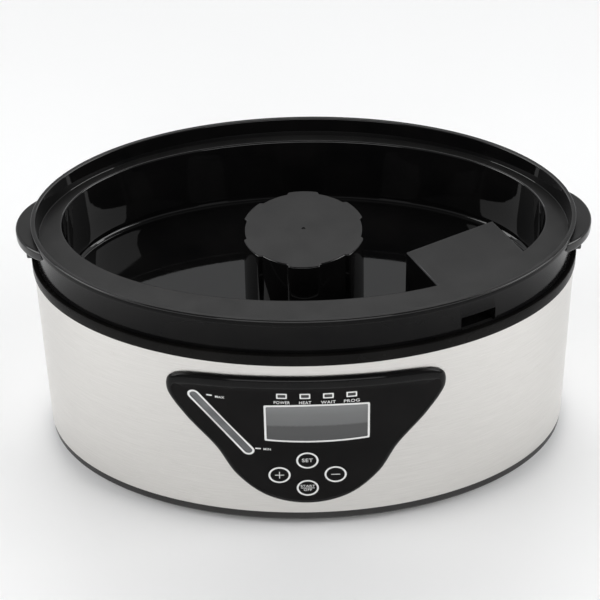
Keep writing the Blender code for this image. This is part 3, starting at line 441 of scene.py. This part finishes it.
def prism(name, outline, near, far):
    """A solid that runs along Y between two planes."""
    shape = bmesh.new()
    rows = [[shape.verts.new(Vector((p.x, y, p.y)) * MM) for p in outline] for y in (near, far)]
    shape.faces.new(rows[0])
    shape.faces.new(rows[1])
    for i in range(len(outline)):
        j = (i + 1) % len(outline)
        shape.faces.new((rows[0][i], rows[0][j], rows[1][j], rows[1][i]))
    return finish_mesh(name, shape, None)


def wall_prism(name, outline):
    return prism(name, outline, -RIM_B - 20.0, -RIM_B + 60.0)


def stadium(start, end, width, steps=14):
    """The outline of a slot with round ends."""
    start, end = Vector(start), Vector(end)
    along = (end - start).normalized()
    side = math.atan2(along.y, along.x)
    made = []
    for centre, turn in ((end, side - math.pi / 2), (start, side + math.pi / 2)):
        for step in range(steps + 1):
            angle = turn + math.pi * step / steps
            made.append(centre + Vector((math.cos(angle), math.sin(angle))) * width / 2)
    return made


def bowed_rectangle(x, z, length, height, radius=1.0, bow=0.0, steps=12):
    """A rectangle with rounded corners whose long sides bow outward."""
    half_x, half_z = length / 2, height / 2
    made = []
    for i, k, turn in ((1, -1, -90), (1, 1, 0), (-1, 1, 90), (-1, -1, 180)):
        for step in range(5):
            angle = math.radians(turn + 90 * step / 4)
            made.append(Vector((x + i * (half_x - radius) + radius * math.cos(angle),
                                z + k * (half_z - radius) + radius * math.sin(angle))))
    full = []
    count = len(made)
    for index, point in enumerate(made):
        following = made[(index + 1) % count]
        pieces = steps if (following - point).length > radius * 3 else 1
        for step in range(pieces):
            full.append(point.lerp(following, step / pieces))
    for point in full:
        reach = (point.x - x) / half_x
        side = (point.y - z) / half_z
        point.y += bow * (1 - reach * reach) * side
    return full


def ribbon(name, outer, inner, base, height, material):
    """A flat raised line between two outlines that lies on the curved panel."""
    rows = []
    for outline, skin in ((outer, base), (outer, base + height), (inner, base + height), (inner, base)):
        rows.append([Vector((p.x, wall_y(p.x, skin), p.y)) * MM for p in outline])
    return loft(name, rows, material)


def plate_on_wall(name, outline, inner, outer, material, rings=6):
    """A closed pane that follows the curved wall, filled by shrinking its outline to the middle."""
    middle = sum(outline, Vector((0.0, 0.0))) / len(outline)
    shape = bmesh.new()
    rows = []
    scales = [step / rings for step in range(1, rings + 1)]
    order = [(s, outer) for s in scales] + [(s, inner) for s in reversed(scales)]
    for scale, skin in order:
        row = []
        for p in outline:
            q = middle + (p - middle) * scale
            row.append(shape.verts.new(Vector((q.x, wall_y(q.x, skin), q.y)) * MM))
        rows.append(row)
    count = len(outline)
    for lower, upper in zip(rows, rows[1:]):
        for i in range(count):
            j = (i + 1) % count
            shape.faces.new((lower[i], lower[j], upper[j], upper[i]))
    for row, skin in ((rows[0], outer), (rows[-1], inner)):
        hub = shape.verts.new(Vector((middle.x, wall_y(middle.x, skin), middle.y)) * MM)
        for i in range(count):
            shape.faces.new((row[i], row[(i + 1) % count], hub))
    return finish_mesh(name, shape, material)


def stand_for(made, body, slot, *nodes):
    """Ties a piece to its body and hides the frame nodes it replaces; the slot is not used."""
    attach(made, body)
    if nodes:
        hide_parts(*nodes)
    return made


# ---------------------------------------------------------------- body pieces

def build_housing(looks):
    """Rim wall, recess, ledge, tray and inlet box in one moulding."""
    top = RIM_TOP
    outside = [Vector(p) for p in ((HOUSING_SKIN, HOUSING_FOOT), (HOUSING_SKIN, top - 6.2), (-0.9, top - 5.4),
                                   (-0.2, top - 5.0), (0.0, top - 4.4))]
    lip = rounded([(0.0, top - 4.4, 0.0), (0.0, top, 1.2), (-3.4, top, 1.0), (-4.4, LEDGE + 0.2, 0.0)], 6)
    outer_rings = [rim(p.x, p.y) for p in outside + lip[1:]]
    outer_rings += [rim(-4.6, LEDGE), rim(-5.4, LEDGE)]
    edge = rounded([(3.0, LEDGE, 0.0), (0.0, LEDGE, 1.6), (-1.2, 145.0, 0.0)], 5)
    foot = rounded([(-1.2, 145.0, 0.0), (-1.7, TRAY_FLOOR, 7.5), (-14.0, TRAY_FLOOR, 0.0)], 10)
    inner_rings = [tray(p.x, p.y) for p in edge + foot[1:]]
    collar = [circle(COLLAR_R + WALL, TRAY_FLOOR), circle(COLLAR_R + WALL, TRAY_FLOOR + COLLAR_HEIGHT),
              circle(COLLAR_R, TRAY_FLOOR + COLLAR_HEIGHT), circle(COLLAR_R, TRAY_FLOOR - WALL)]
    under = [tray(-8.0, TRAY_FLOOR - WALL), tray(1.0, TRAY_FLOOR + 5.0), tray(WALL, LEDGE - WALL),
             rim(HOUSING_SKIN - WALL, LEDGE - WALL), rim(HOUSING_SKIN - WALL, HOUSING_FOOT)]
    housing = loft("housing_moulding", outer_rings + inner_rings + collar + under, looks["gloss_black"])
    solid = inlet_block("inlet_solid", INLET_ALONG, INLET_ACROSS, TRAY_FLOOR - 2.0, LEDGE, 1.3)
    limit = loft("inlet_limit", [rim(-6.5, 100.0), rim(-6.5, 200.0)], closed=False)
    apply_boolean(solid, "INTERSECT", limit)
    apply_boolean(housing, "UNION", solid)
    along = (INLET_ALONG[0] + WALL, INLET_ALONG[1] - WALL)
    across = (INLET_ACROSS[0] + WALL, 112.0)
    hollow = inlet_block("inlet_hollow", along, across, TRAY_FLOOR - 8.0, LEDGE - WALL)
    mouth = inlet_block("inlet_mouth", (46.0, 72.0), (120.0, 150.0), 163.0, 173.5, 1.2)
    cut(housing, hollow, mouth)
    surface_finishes(housing, looks["gloss_black"], looks["top_black"], looks["wall_black"])
    return stand_for(housing, "base_unit", "gloss_black", "upper_housing")


def surface_finishes(made, gloss, satin, wall=None):
    """Level top faces get a fine satin texture, the outer wall a duller one, and the rest stays glossy."""
    made.data.materials.clear()
    for material in (gloss, satin, wall or gloss):
        made.data.materials.append(material)
    for face in made.data.polygons:
        x, y, z = face.center / MM
        level = face.normal.z > 0.97 and z > TRAY_FLOOR + 10.0
        outside = math.hypot(x / (RIM_A - 2.0), y / (RIM_B - 2.0)) > 1.0 and z < RIM_TOP - 1.5
        face.material_index = 1 if level else 2 if outside else 0


def build_trim_ring(looks):
    """The proud black ring that laps the top of the steel."""
    against = HOUSING_SKIN + 0.15
    profile = rounded([(TRIM_SKIN, 156.0, 0.0), (TRIM_SKIN, TRIM_TOP, 0.9), (against, TRIM_TOP, 0.3),
                       (against, HOUSING_FOOT, 0.0), (-3.7, 157.8, 0.3), (-3.7, 149.6, 0.3),
                       (-0.05, 149.6, 0.3), (-0.05, 155.6, 0.2), (1.0, 155.6, 0.2),
                       (1.0, STEEL_HIGH, 0.2), (TRIM_SKIN, STEEL_HIGH, 0.5), (TRIM_SKIN, 156.0, 0.0)], 4)
    ring = band("trim_ring_moulding", rim, profile[:-1], looks["satin_black"])
    return stand_for(ring, "base_unit", "satin_black", "trim_ring")


def build_steel(looks):
    """One bent sheet with openings for the panel and the cord."""
    rows = [rim(STEEL_SKIN, STEEL_LOW + (STEEL_HIGH - STEEL_LOW) * step / 8) for step in range(9)]
    inner = [rim(STEEL_SKIN - 0.6, z) for z in (STEEL_HIGH + 2.7, STEEL_LOW)]
    shell = loft("steel_sheet", rows + [rim(STEEL_SKIN, STEEL_HIGH + 2.7)] + inner, looks["steel"])
    hole = rod("cord_hole", 6.3, 20.0, (0.0, RIM_B, CORD_Z), "Y")
    cut(shell, wall_prism("panel_hole", panel_outline(5.0)), hole)
    return stand_for(shell, "base_unit", "brushed_steel", "steel_shell")


def build_base_pan(looks):
    """The dark foot moulding: seats for the feet and screws, vents, and a round groove."""
    inner = -0.05
    profile = rounded([(-9.0, 3.0, 0.0), (-2.4, 3.0, 2.0), (PAN_SKIN, 6.6, 2.4), (PAN_SKIN, 12.7, 0.6),
                       (inner, 12.7, 0.0), (inner, 21.0, 0.3), (inner - 2.4, 21.0, 0.3),
                       (inner - 2.4, 5.5, 0.8), (inner - 4.0, 5.5, 0.0)], 5)
    pan = loft("base_moulding", [rim(p.x, p.y) for p in profile], looks["base_grey"], closed=False)
    for x, y in FEET.values():
        cut(pan, rod("foot_seat", 9.3, 4.0, (x, y, 2.2)))
    for x, y in POSTS:
        cut(pan, rod("screw_seat", 4.0, 4.0, (x, y, 3.0)))
    for step in range(5):
        cut(pan, block("vent", (5.0, 34.0, 10.0), (40.0 + 11.0 * step, 0.0, 3.0)))
    for radius in (34.0, 30.0):
        cut(pan, apply_boolean(rod("ring_out", radius, 1.0, (-60.0, 0.0, 3.0)), "DIFFERENCE",
                               rod("ring_in", radius - 1.2, 3.0, (-60.0, 0.0, 3.0))))
    return stand_for(pan, "base_unit", "satin_black", "base_pan")


def lobed(radius, notch, z, count=360):
    """The cap's outline: six wide teeth between six shallow notches."""
    points = []
    for step in range(count):
        angle = 2 * math.pi * step / count
        phase = math.cos(6 * (angle - math.pi / 2))
        dip = min(max(0.5 - 3.2 * phase, 0.0), 1.0)
        dip = dip * dip * (3 - 2 * dip)
        reach = radius - notch * dip
        points.append(Vector((reach * math.cos(angle), reach * math.sin(angle), z)) * MM)
    return points


def build_cap(looks):
    """The steam cap: a hollow toothed cup with slots at its foot."""
    top, low = LEDGE, TRAY_FLOOR + 0.3
    rings = [lobed(CAP_R + 0.6, CAP_NOTCH, low), lobed(CAP_R + 0.02, CAP_NOTCH, top - 1.6)]
    for step in range(1, 6):
        angle = math.pi / 2 * step / 5
        rings.append(lobed(CAP_R - CAP_EDGE * (1 - math.cos(angle)), CAP_NOTCH,
                           top - CAP_EDGE * (1 - math.sin(angle))))
    rings.append(lobed(CAP_R - CAP_EDGE - 0.6, CAP_NOTCH, top))
    for radius, z in ((30.0, top), (1.7, top), (1.3, top), (1.1, top - 0.7), (0.4, top - 0.8)):
        rings.append(oval(radius, radius, 0.0, z, count=360))
    cap = loft("cap_moulding", rings, looks["gloss_black"], closed=False)
    cut(cap, rod("cap_room", CAP_ROOM, 53.0, (0.0, 0.0, 147.0), segments=ROUND))
    for step in range(3):
        turn = math.pi * (step + 0.5) / 3 + math.pi / 2
        cut(cap, block("steam_slot", (100.0, 14.0, 18.0), (0.0, 0.0, low), turn))
    surface_finishes(cap, looks["gloss_black"], looks["top_black"])
    return stand_for(cap, "steam_cap", "gloss_black", "steam_cap")


def build_handles(looks):
    """Half-moon ledges, hollow below, each with a tab that screws to the housing."""
    for name, side in (("left", -1), ("right", 1)):
        centre_x = side * (HANDLE_REACH - HANDLE_R)
        shape = bmesh.new()
        bmesh.ops.create_cone(shape, cap_ends=True, segments=160, radius1=HANDLE_R * MM,
                              radius2=HANDLE_R * MM, depth=HANDLE_THICK * MM)
        rims = [e for e in shape.edges if abs(e.verts[0].co.z - e.verts[1].co.z) < 1e-6]
        bmesh.ops.bevel(shape, geom=rims, offset=1.8 * MM, segments=5, affect="EDGES", profile=0.5)
        middle = Vector((centre_x, 0, HANDLE_TOP - HANDLE_THICK / 2)) * MM
        bmesh.ops.translate(shape, vec=middle, verts=shape.verts)
        handle = finish_mesh(name + "_handle_moulding", shape, looks["gloss_black"])
        depth = 12.0
        grip = rod("grip", HANDLE_R - 3.0, depth, (centre_x, 0, HANDLE_TOP - WALL - depth / 2),
                   segments=160)
        cut(handle, grip)
        low, high = TRIM_TOP + 1.5, HANDLE_TOP - 1.0
        tab = block("tab", (16.0, 24.0, high - low), (side * (RIM_A - 3.8), 0, (high + low) / 2), radius=1.2)
        apply_boolean(handle, "UNION", tab)
        body = loft("body", [rim(HOUSING_SKIN + 0.2, 150.0), rim(HOUSING_SKIN + 0.2, 200.0)], closed=False)
        cut(handle, body)
        surface_finishes(handle, looks["gloss_black"], looks["top_black"])
        stand_for(handle, "base_unit", "gloss_black", name + "_handle")


def build_feet(looks):
    """Four rubber feet, each with a shallow dish below."""
    for name, (x, y) in FEET.items():
        profile = rounded([(0.01, 3.9, 0.0), (9.0, 3.9, 0.3), (9.0, 0.0, 1.0), (6.5, 0.0, 0.3),
                           (5.8, 0.7, 0.4), (0.01, 0.7, 0.0)], 4)
        rings = []
        for p in profile:
            rings.append([q + Vector((x, y, 0)) * MM for q in oval(p.x, p.x, 0.0, p.y, count=64)])
        foot = loft("foot_pad_" + name, rings, looks["rubber"], closed=False)
        stand_for(foot, "base_unit", "black_rubber", "foot_" + name)


def build_gland(looks):
    """The bushing that holds the cord, with a flange on each side of the steel."""
    outer, inner = RIM_B + STEEL_SKIN + 0.3, RIM_B + STEEL_SKIN - 1.2
    end, start = outer + 3.45, inner - 3.0
    profile = rounded([(6.0, outer, 0.0), (9.0, outer, 0.3), (9.0, end - 1.2, 0.8), (7.6, end, 0.8),
                       (3.6, end, 0.8), (3.6, start, 0.3), (8.5, start, 0.3), (8.5, inner, 0.3),
                       (6.0, inner, 0.0)], 4)
    rows = [upright_circle(0.0, CORD_Z, p.x, p.y, 64) for p in profile]
    gland = loft("cord_bushing", rows, looks["rubber"])
    stand_for(gland, "base_unit", "black_rubber", "cord_gland")


# ---------------------------------------------------------------- control panel

def panel_rolls(points):
    """The rounded border's width at each point of the outline: broad along the top, narrow at the sides."""
    return [3.6 + 4.2 * max(-n.y, 0.0) ** 1.5 for n in loop_normals(points)]


def build_panel(looks):
    """The shield-shaped moulding with a rolled border that follows the curved wall."""
    outline = panel_outline()
    normals, rolls = loop_normals(outline), panel_rolls(outline)
    low_skin, high_skin, face_skin = STEEL_SKIN + 0.3, PANEL_SKIN, FACE_SKIN
    rows = [[(p, low_skin) for p in outline]]
    steps = 12
    for step in range(steps + 1):
        t = step / steps
        row = []
        for p, n, roll in zip(outline, normals, rolls):
            angle = t * math.pi * 0.62
            height = math.sin(angle) if angle < math.pi / 2 else 1.0
            skin = low_skin + 0.8 + (high_skin - low_skin - 0.8) * height
            if t > 0.8:
                skin = high_skin + (face_skin - high_skin) * ((t - 0.8) / 0.2) ** 2
            row.append((p + n * roll * (1 - math.cos(t * math.pi / 2) ** 1.3), skin))
        rows.append(row)
    middle = Vector((0.0, 100.0))
    face = [p + n * roll for p, n, roll in zip(outline, normals, rolls)]
    for step in range(1, 9):
        shrink = 1 - step / 9
        rows.append([(middle + (p - middle) * shrink, face_skin) for p in face])
    back = [[(middle + (p - middle) * (step / 6), low_skin) for p in outline] for step in range(1, 6)]
    shape = bmesh.new()
    made = []
    for row in rows + back:
        made.append([shape.verts.new(Vector((p.x, wall_y(p.x, skin), p.y)) * MM) for p, skin in row])
    count = len(outline)
    front, rear = made[:len(rows)], made[len(rows):]
    chains = [front, rear + [made[0]]]
    for chain in chains:
        for lower, upper in zip(chain, chain[1:]):
            for i in range(count):
                j = (i + 1) % count
                shape.faces.new((lower[i], lower[j], upper[j], upper[i]))
    for row, skin in ((front[-1], face_skin), (rear[0], low_skin)):
        hub = shape.verts.new(Vector((middle.x, wall_y(middle.x, skin), middle.y)) * MM)
        for i in range(count):
            shape.faces.new((row[i], row[(i + 1) % count], hub))
    border = set()
    for row in front[:steps + 1]:
        border.update(row)
    for patch in shape.faces:
        patch.material_index = int(any(corner in border for corner in patch.verts))
    panel = finish_mesh("panel_moulding", shape, looks["panel_black"], 50.0)
    panel.data.materials.append(looks["rim_black"])
    holes = [wall_prism("lcd_hole", lcd_outline(0.0)), wall_prism("gauge_hole", gauge_outline(0.0))]
    for x in LEDS.values():
        holes.append(wall_prism("led_hole", led_outline(x, 0.0)))
    for x, z in BUTTONS.values():
        holes.append(rod("button_hole", 8.0, 60.0, (x, -RIM_B, z), "Y", ROUND))
    cut(panel, *holes)
    return stand_for(panel, "base_unit", "gloss_black", "control_panel")


def lcd_outline(grow):
    x, z, length, height = LCD
    return bowed_rectangle(x, z, length + 2 * grow, height + 2 * grow, 0.9 + max(grow, 0.0), 1.2)


def led_outline(x, grow):
    return bowed_rectangle(x, LED_Z, LED_LENGTH + 2 * grow, LED_HEIGHT + 2 * grow, 0.5 + max(grow, 0.0))


def gauge_outline(grow):
    return stadium(GAUGE_LOW, GAUGE_HIGH, GAUGE_WIDTH + 2 * grow)


def build_windows(looks):
    """The panes over the LCD, gauge and indicators, with their printed borders."""
    inner, outer = STEEL_SKIN + 0.6, FACE_SKIN - 0.1
    lcd = plate_on_wall("lcd_pane", lcd_outline(-0.2), inner, outer, looks["lcd"], 8)
    stand_for(lcd, "base_unit", "clear_window", "lcd_window")
    pane = plate_on_wall("gauge_pane", gauge_outline(-0.2), inner, outer - 0.3, looks["gauge"], 6)
    stand_for(pane, "base_unit", "clear_window", "gauge_window")
    for name, x in LEDS.items():
        lens = plate_on_wall("led_pane_" + name, led_outline(x, -0.2), inner, outer - 0.2, looks["lens"], 3)
        stand_for(lens, "base_unit", "clear_window", "led_lens_" + name)
    base = FACE_SKIN + PRINT_GAP
    lines = [ribbon("lcd_border", lcd_outline(0.1), lcd_outline(-1.3), base, PRINT_HEIGHT, looks["print"]),
             ribbon("gauge_border", gauge_outline(0.05), gauge_outline(-1.45), base, PRINT_HEIGHT,
                    looks["print"])]
    for name, x in LEDS.items():
        lines.append(ribbon("led_border_" + name, led_outline(x, 0.0), led_outline(x, -0.95), base,
                            PRINT_HEIGHT, looks["print"]))
    for line in lines:
        stand_for(line, "base_unit", "white_plastic")


def print_y(x, skin, lift, y):
    """How far forward a print stands: over the curved panel, or over a flat face at y."""
    return wall_y(x, skin + lift) if y is None else y - lift


def lettering(name, text, x, z, height, material, spread=1.0, y=None):
    """Flat raised letters laid on the curved panel, or on a flat face at y."""
    curve = bpy.data.curves.new(name, "FONT")
    curve.body = text
    curve.align_x = "CENTER"
    curve.align_y = "CENTER"
    curve.size = height * 1.42 * MM
    curve.space_character = 1.08
    curve.offset = 0.00003
    guide = bpy.data.objects.new(name + "_guide", curve)
    bpy.context.scene.collection.objects.link(guide)
    bpy.context.view_layer.update()
    mesh = bpy.data.meshes.new_from_object(guide.evaluated_get(bpy.context.evaluated_depsgraph_get()))
    bpy.data.objects.remove(guide)
    shape = bmesh.new()
    shape.from_mesh(mesh)
    bmesh.ops.remove_doubles(shape, verts=shape.verts, dist=1e-7)
    flat = list(shape.faces)
    raised = bmesh.ops.extrude_face_region(shape, geom=flat)
    tops = {v for v in raised["geom"] if isinstance(v, bmesh.types.BMVert)}
    for v in shape.verts:
        px, pz = x + v.co.x / MM * spread, z + v.co.y / MM
        lift = LETTER_HEIGHT if v in tops else PRINT_GAP
        v.co = Vector((px, print_y(px, FACE_SKIN, lift, y), pz)) * MM
    return finish_mesh(name, shape, material, 20.0)


def bar(name, x, z, length, thick, material, y=None):
    """A short printed bar."""
    outline = bowed_rectangle(x, z, length, thick, min(length, thick) * 0.2, steps=2)
    rows = []
    for lift in (PRINT_HEIGHT, PRINT_GAP):
        rows.append([Vector((p.x, print_y(p.x, FACE_SKIN, lift, y), p.y)) * MM for p in outline])
    return loft(name, rows, material, closed=False)


def build_prints(looks):
    """The words under the indicators and beside the gauge, with the gauge's two marks."""
    words = {"label_power": ("POWER", LEDS["power"], LABEL_Z, 2.6, 0.82),
             "label_heat": ("HEAT", LEDS["heat"], LABEL_Z, 2.6, 0.88),
             "label_wait": ("WAIT", LEDS["wait"], LABEL_Z, 2.6, 1.0),
             "label_program": ("PROG", LEDS["program"], LABEL_Z, 2.6, 1.08),
             "label_max": ("MAX", -58.3, 123.4, 2.0, 1.0), "label_min": ("MIN", -27.4, 78.0, 2.0, 1.0)}
    for name, (text, x, z, height, spread) in words.items():
        stand_for(lettering(name, text, x, z, height, looks["print"], spread), "base_unit", "white_plastic")
    stand_for(bar("mark_max", -65.3, 124.3, 3.8, 1.1, looks["print"]), "base_unit", "white_plastic")
    stand_for(bar("mark_min", -33.6, 78.4, 3.8, 1.1, looks["print"]), "base_unit", "white_plastic")


def ring_on_face(name, x, z, outer, inner, y, material):
    """A printed ring on a flat face."""
    lifted = ((outer, 0.0), (outer, PRINT_HEIGHT), (inner, PRINT_HEIGHT), (inner, 0.0))
    return loft(name, [upright_circle(x, z, radius, y - lift) for radius, lift in lifted], material)


def build_buttons(looks):
    """The four caps, each with its ring and sign."""
    for name, (x, z) in BUTTONS.items():
        body = "button_" + name
        low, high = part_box(body)
        face, end = low.y / MM, high.y / MM
        flange = wall_y(abs(x) + KEY_FLANGE, STEEL_SKIN + 0.3) + 0.3
        profile = rounded([(0.02, face + 0.25, 0.0), (5.6, face + 0.05, 3.0), (BUTTON_R, face, 0.9),
                           (BUTTON_R, flange, 0.0), (KEY_FLANGE, flange, 0.2),
                           (KEY_FLANGE, flange + 1.2, 0.2), (2.5, flange + 1.2, 0.2), (2.5, end, 0.2),
                           (0.02, end, 0.0)], 5)
        rows = [upright_circle(x, z, p.x, p.y) for p in profile]
        cap = loft("keycap_" + name, rows, looks["panel_black"], closed=False)
        stand_for(cap, body, "gloss_black", body)
        top = face - 0.01
        marks = [ring_on_face("key_ring_" + name, x, z, BUTTON_R - 0.02, 6.35, top + 0.05, looks["print"])]
        if name == "set":
            marks.append(lettering("key_word_set", "SET", x, z, 3.3, looks["print"], 1.0, y=top))
        elif name == "start":
            marks.append(lettering("key_word_start", "START", x, z + 1.8, 2.0, looks["print"], 1.15, y=top))
            marks.append(lettering("key_word_off", "OFF", x, z - 2.0, 2.0, looks["print"], 1.15, y=top))
            marks.append(bar("key_line_start", x, z - 0.05, 9.6, 0.45, looks["print"], top))
        else:
            marks.append(bar("key_bar_" + name, x, z, 6.4, 0.6, looks["print"], top))
            if name == "plus":
                marks.append(bar("key_post_plus", x, z, 0.6, 6.4, looks["print"], top - 0.002))
        for mark in marks:
            stand_for(mark, body, "white_plastic")


# ---------------------------------------------------------------- carried-over frame pieces

def dress_frame(looks):
    """Gives every frame node that still shows its own procedural finish."""
    kinds = {"inlet_chute": "gloss_black", "water_reservoir": "white", "reservoir_gasket": "silicone",
             "heater_gasket": "silicone", "heater_plate": "aluminium", "heating_element": "plain_steel",
             "heater_clamp": "zinc", "thermostat": "grey", "thermal_fuse": "white",
             "panel_retainer": "satin_black", "lcd_module": "grey", "display_board": "board",
             "power_board": "board", "transformer": "lamination", "relay": "white", "buzzer": "satin_black",
             "gauge_tube": "silicone", "gauge_hose": "silicone", "gauge_float": "float"}
    for name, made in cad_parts.items():
        if made.hide_render:
            continue
        kind = kinds.get(name)
        if kind is None:
            kind = "zinc" if "screw" in name else "grey"
        made.data.materials.clear()
        made.data.materials.append(looks[kind])
        rounding = made.modifiers.new("edges", "BEVEL")
        rounding.width = 0.0003
        rounding.segments = 2
        rounding.limit_method = "ANGLE"
        rounding.angle_limit = math.radians(50)
        made.data.set_sharp_from_angle(angle=math.radians(40))


# ---------------------------------------------------------------- stage, camera and light

def build_stage():
    """A plain pale floor."""
    made, tree, shader = new_material("floor_white")
    tree.links.new(ramp(tree, noise(tree, 3.0, 2.0), (0.93, 0.93, 0.93), (0.95, 0.95, 0.95)),
                   shader.inputs["Base Color"])
    shader.inputs["Roughness"].default_value = 0.6
    mesh = bpy.data.meshes.new("floor")
    shape = bmesh.new()
    bmesh.ops.create_grid(shape, x_segments=4, y_segments=4, size=3.0)
    shape.to_mesh(mesh)
    shape.free()
    floor = bpy.data.objects.new("floor", mesh)
    floor.location.z = -0.0002
    mesh.materials.append(made)
    bpy.context.scene.collection.objects.link(floor)
    return floor


def build_world():
    """A studio room: pale walls around and behind, a dim ceiling and a dim side behind the camera."""
    world = bpy.data.worlds.new("studio")
    bpy.context.scene.world = world
    world.use_nodes = True
    tree = world.node_tree
    place = node(tree, "ShaderNodeTexCoord")
    split = node(tree, "ShaderNodeSeparateXYZ")
    tree.links.new(place.outputs["Generated"], split.inputs[0])
    ceiling = ramp(tree, split.outputs["Z"], 0.85, 0.10, 0.66, 0.84)
    behind = node(tree, "ShaderNodeMapRange")
    behind.inputs["From Min"].default_value = -0.5
    behind.inputs["From Max"].default_value = 0.1
    behind.inputs["To Min"].default_value = 0.3
    tree.links.new(split.outputs["Y"], behind.inputs["Value"])
    level = node(tree, "ShaderNodeMath", operation="MULTIPLY")
    tree.links.new(ceiling, level.inputs[0])
    tree.links.new(behind.outputs[0], level.inputs[1])
    background = tree.nodes["Background"]
    background.inputs["Color"].default_value = (0.98, 0.99, 1.0, 1.0)
    tree.links.new(level.outputs[0], background.inputs["Strength"])


def softbox(name, size, place, aim, power):
    """A rectangular area light aimed at a point."""
    light = bpy.data.lights.new(name, "AREA")
    light.shape = "RECTANGLE"
    light.size, light.size_y = size
    light.energy = power
    made = bpy.data.objects.new(name, light)
    made.location = place
    made.rotation_euler = (Vector(aim) - Vector(place)).to_track_quat("-Z", "Y").to_euler()
    bpy.context.scene.collection.objects.link(made)
    return made


def build_lights():
    softbox("overhead", (1.2, 0.9), (0.0, 0.9, 1.5), (0.0, 0.0, 0.1), 9.0)
    softbox("left", (0.9, 1.2), (-1.4, -0.35, 1.0), (0.0, 0.0, 0.1), 13.0)
    softbox("right", (0.9, 1.2), (1.4, -0.35, 1.0), (0.0, 0.0, 0.1), 13.0)
    softbox("front", (1.8, 0.7), (0.0, -2.2, 0.7), (0.0, 0.0, 0.1), 12.0)


def build_camera():
    """The main viewpoint, as angles and a distance from the aim point."""
    elevation, azimuth, roll = math.radians(40.36), math.radians(0.11), math.radians(-1.03)
    distance, lens = 1.4947, 125.0
    back = Vector((math.sin(azimuth) * math.cos(elevation), -math.cos(azimuth) * math.cos(elevation),
                   math.sin(elevation)))
    aim = Vector((0.0, 0.0, 0.1110))
    right = (-back).cross(Vector((0, 0, 1))).normalized()
    up = right.cross(-back)
    turned_right = right * math.cos(roll) + up * math.sin(roll)
    turned_up = -right * math.sin(roll) + up * math.cos(roll)
    camera = bpy.data.cameras.new("camera")
    camera.lens = lens
    camera.sensor_width = 36.0
    camera.shift_x = -0.0080
    made = bpy.data.objects.new("camera", camera)
    bpy.context.scene.collection.objects.link(made)
    rotation = Matrix((turned_right, turned_up, back)).transposed().to_4x4()
    made.matrix_world = Matrix.Translation(aim + back * distance) @ rotation
    bpy.context.scene.camera = made


looks = make_materials()
looks["lcd"] = lcd_material()
looks["gauge"] = smoked_window()
looks["lens"] = lens_material()
build_camera()
build_housing(looks)
build_trim_ring(looks)
build_steel(looks)
build_base_pan(looks)
build_cap(looks)
build_handles(looks)
build_feet(looks)
build_gland(looks)
build_panel(looks)
build_windows(looks)
build_prints(looks)
build_buttons(looks)
dress_frame(looks)
build_stage()
build_world()
build_lights()
bpy.context.scene.view_settings.view_transform = "Standard"
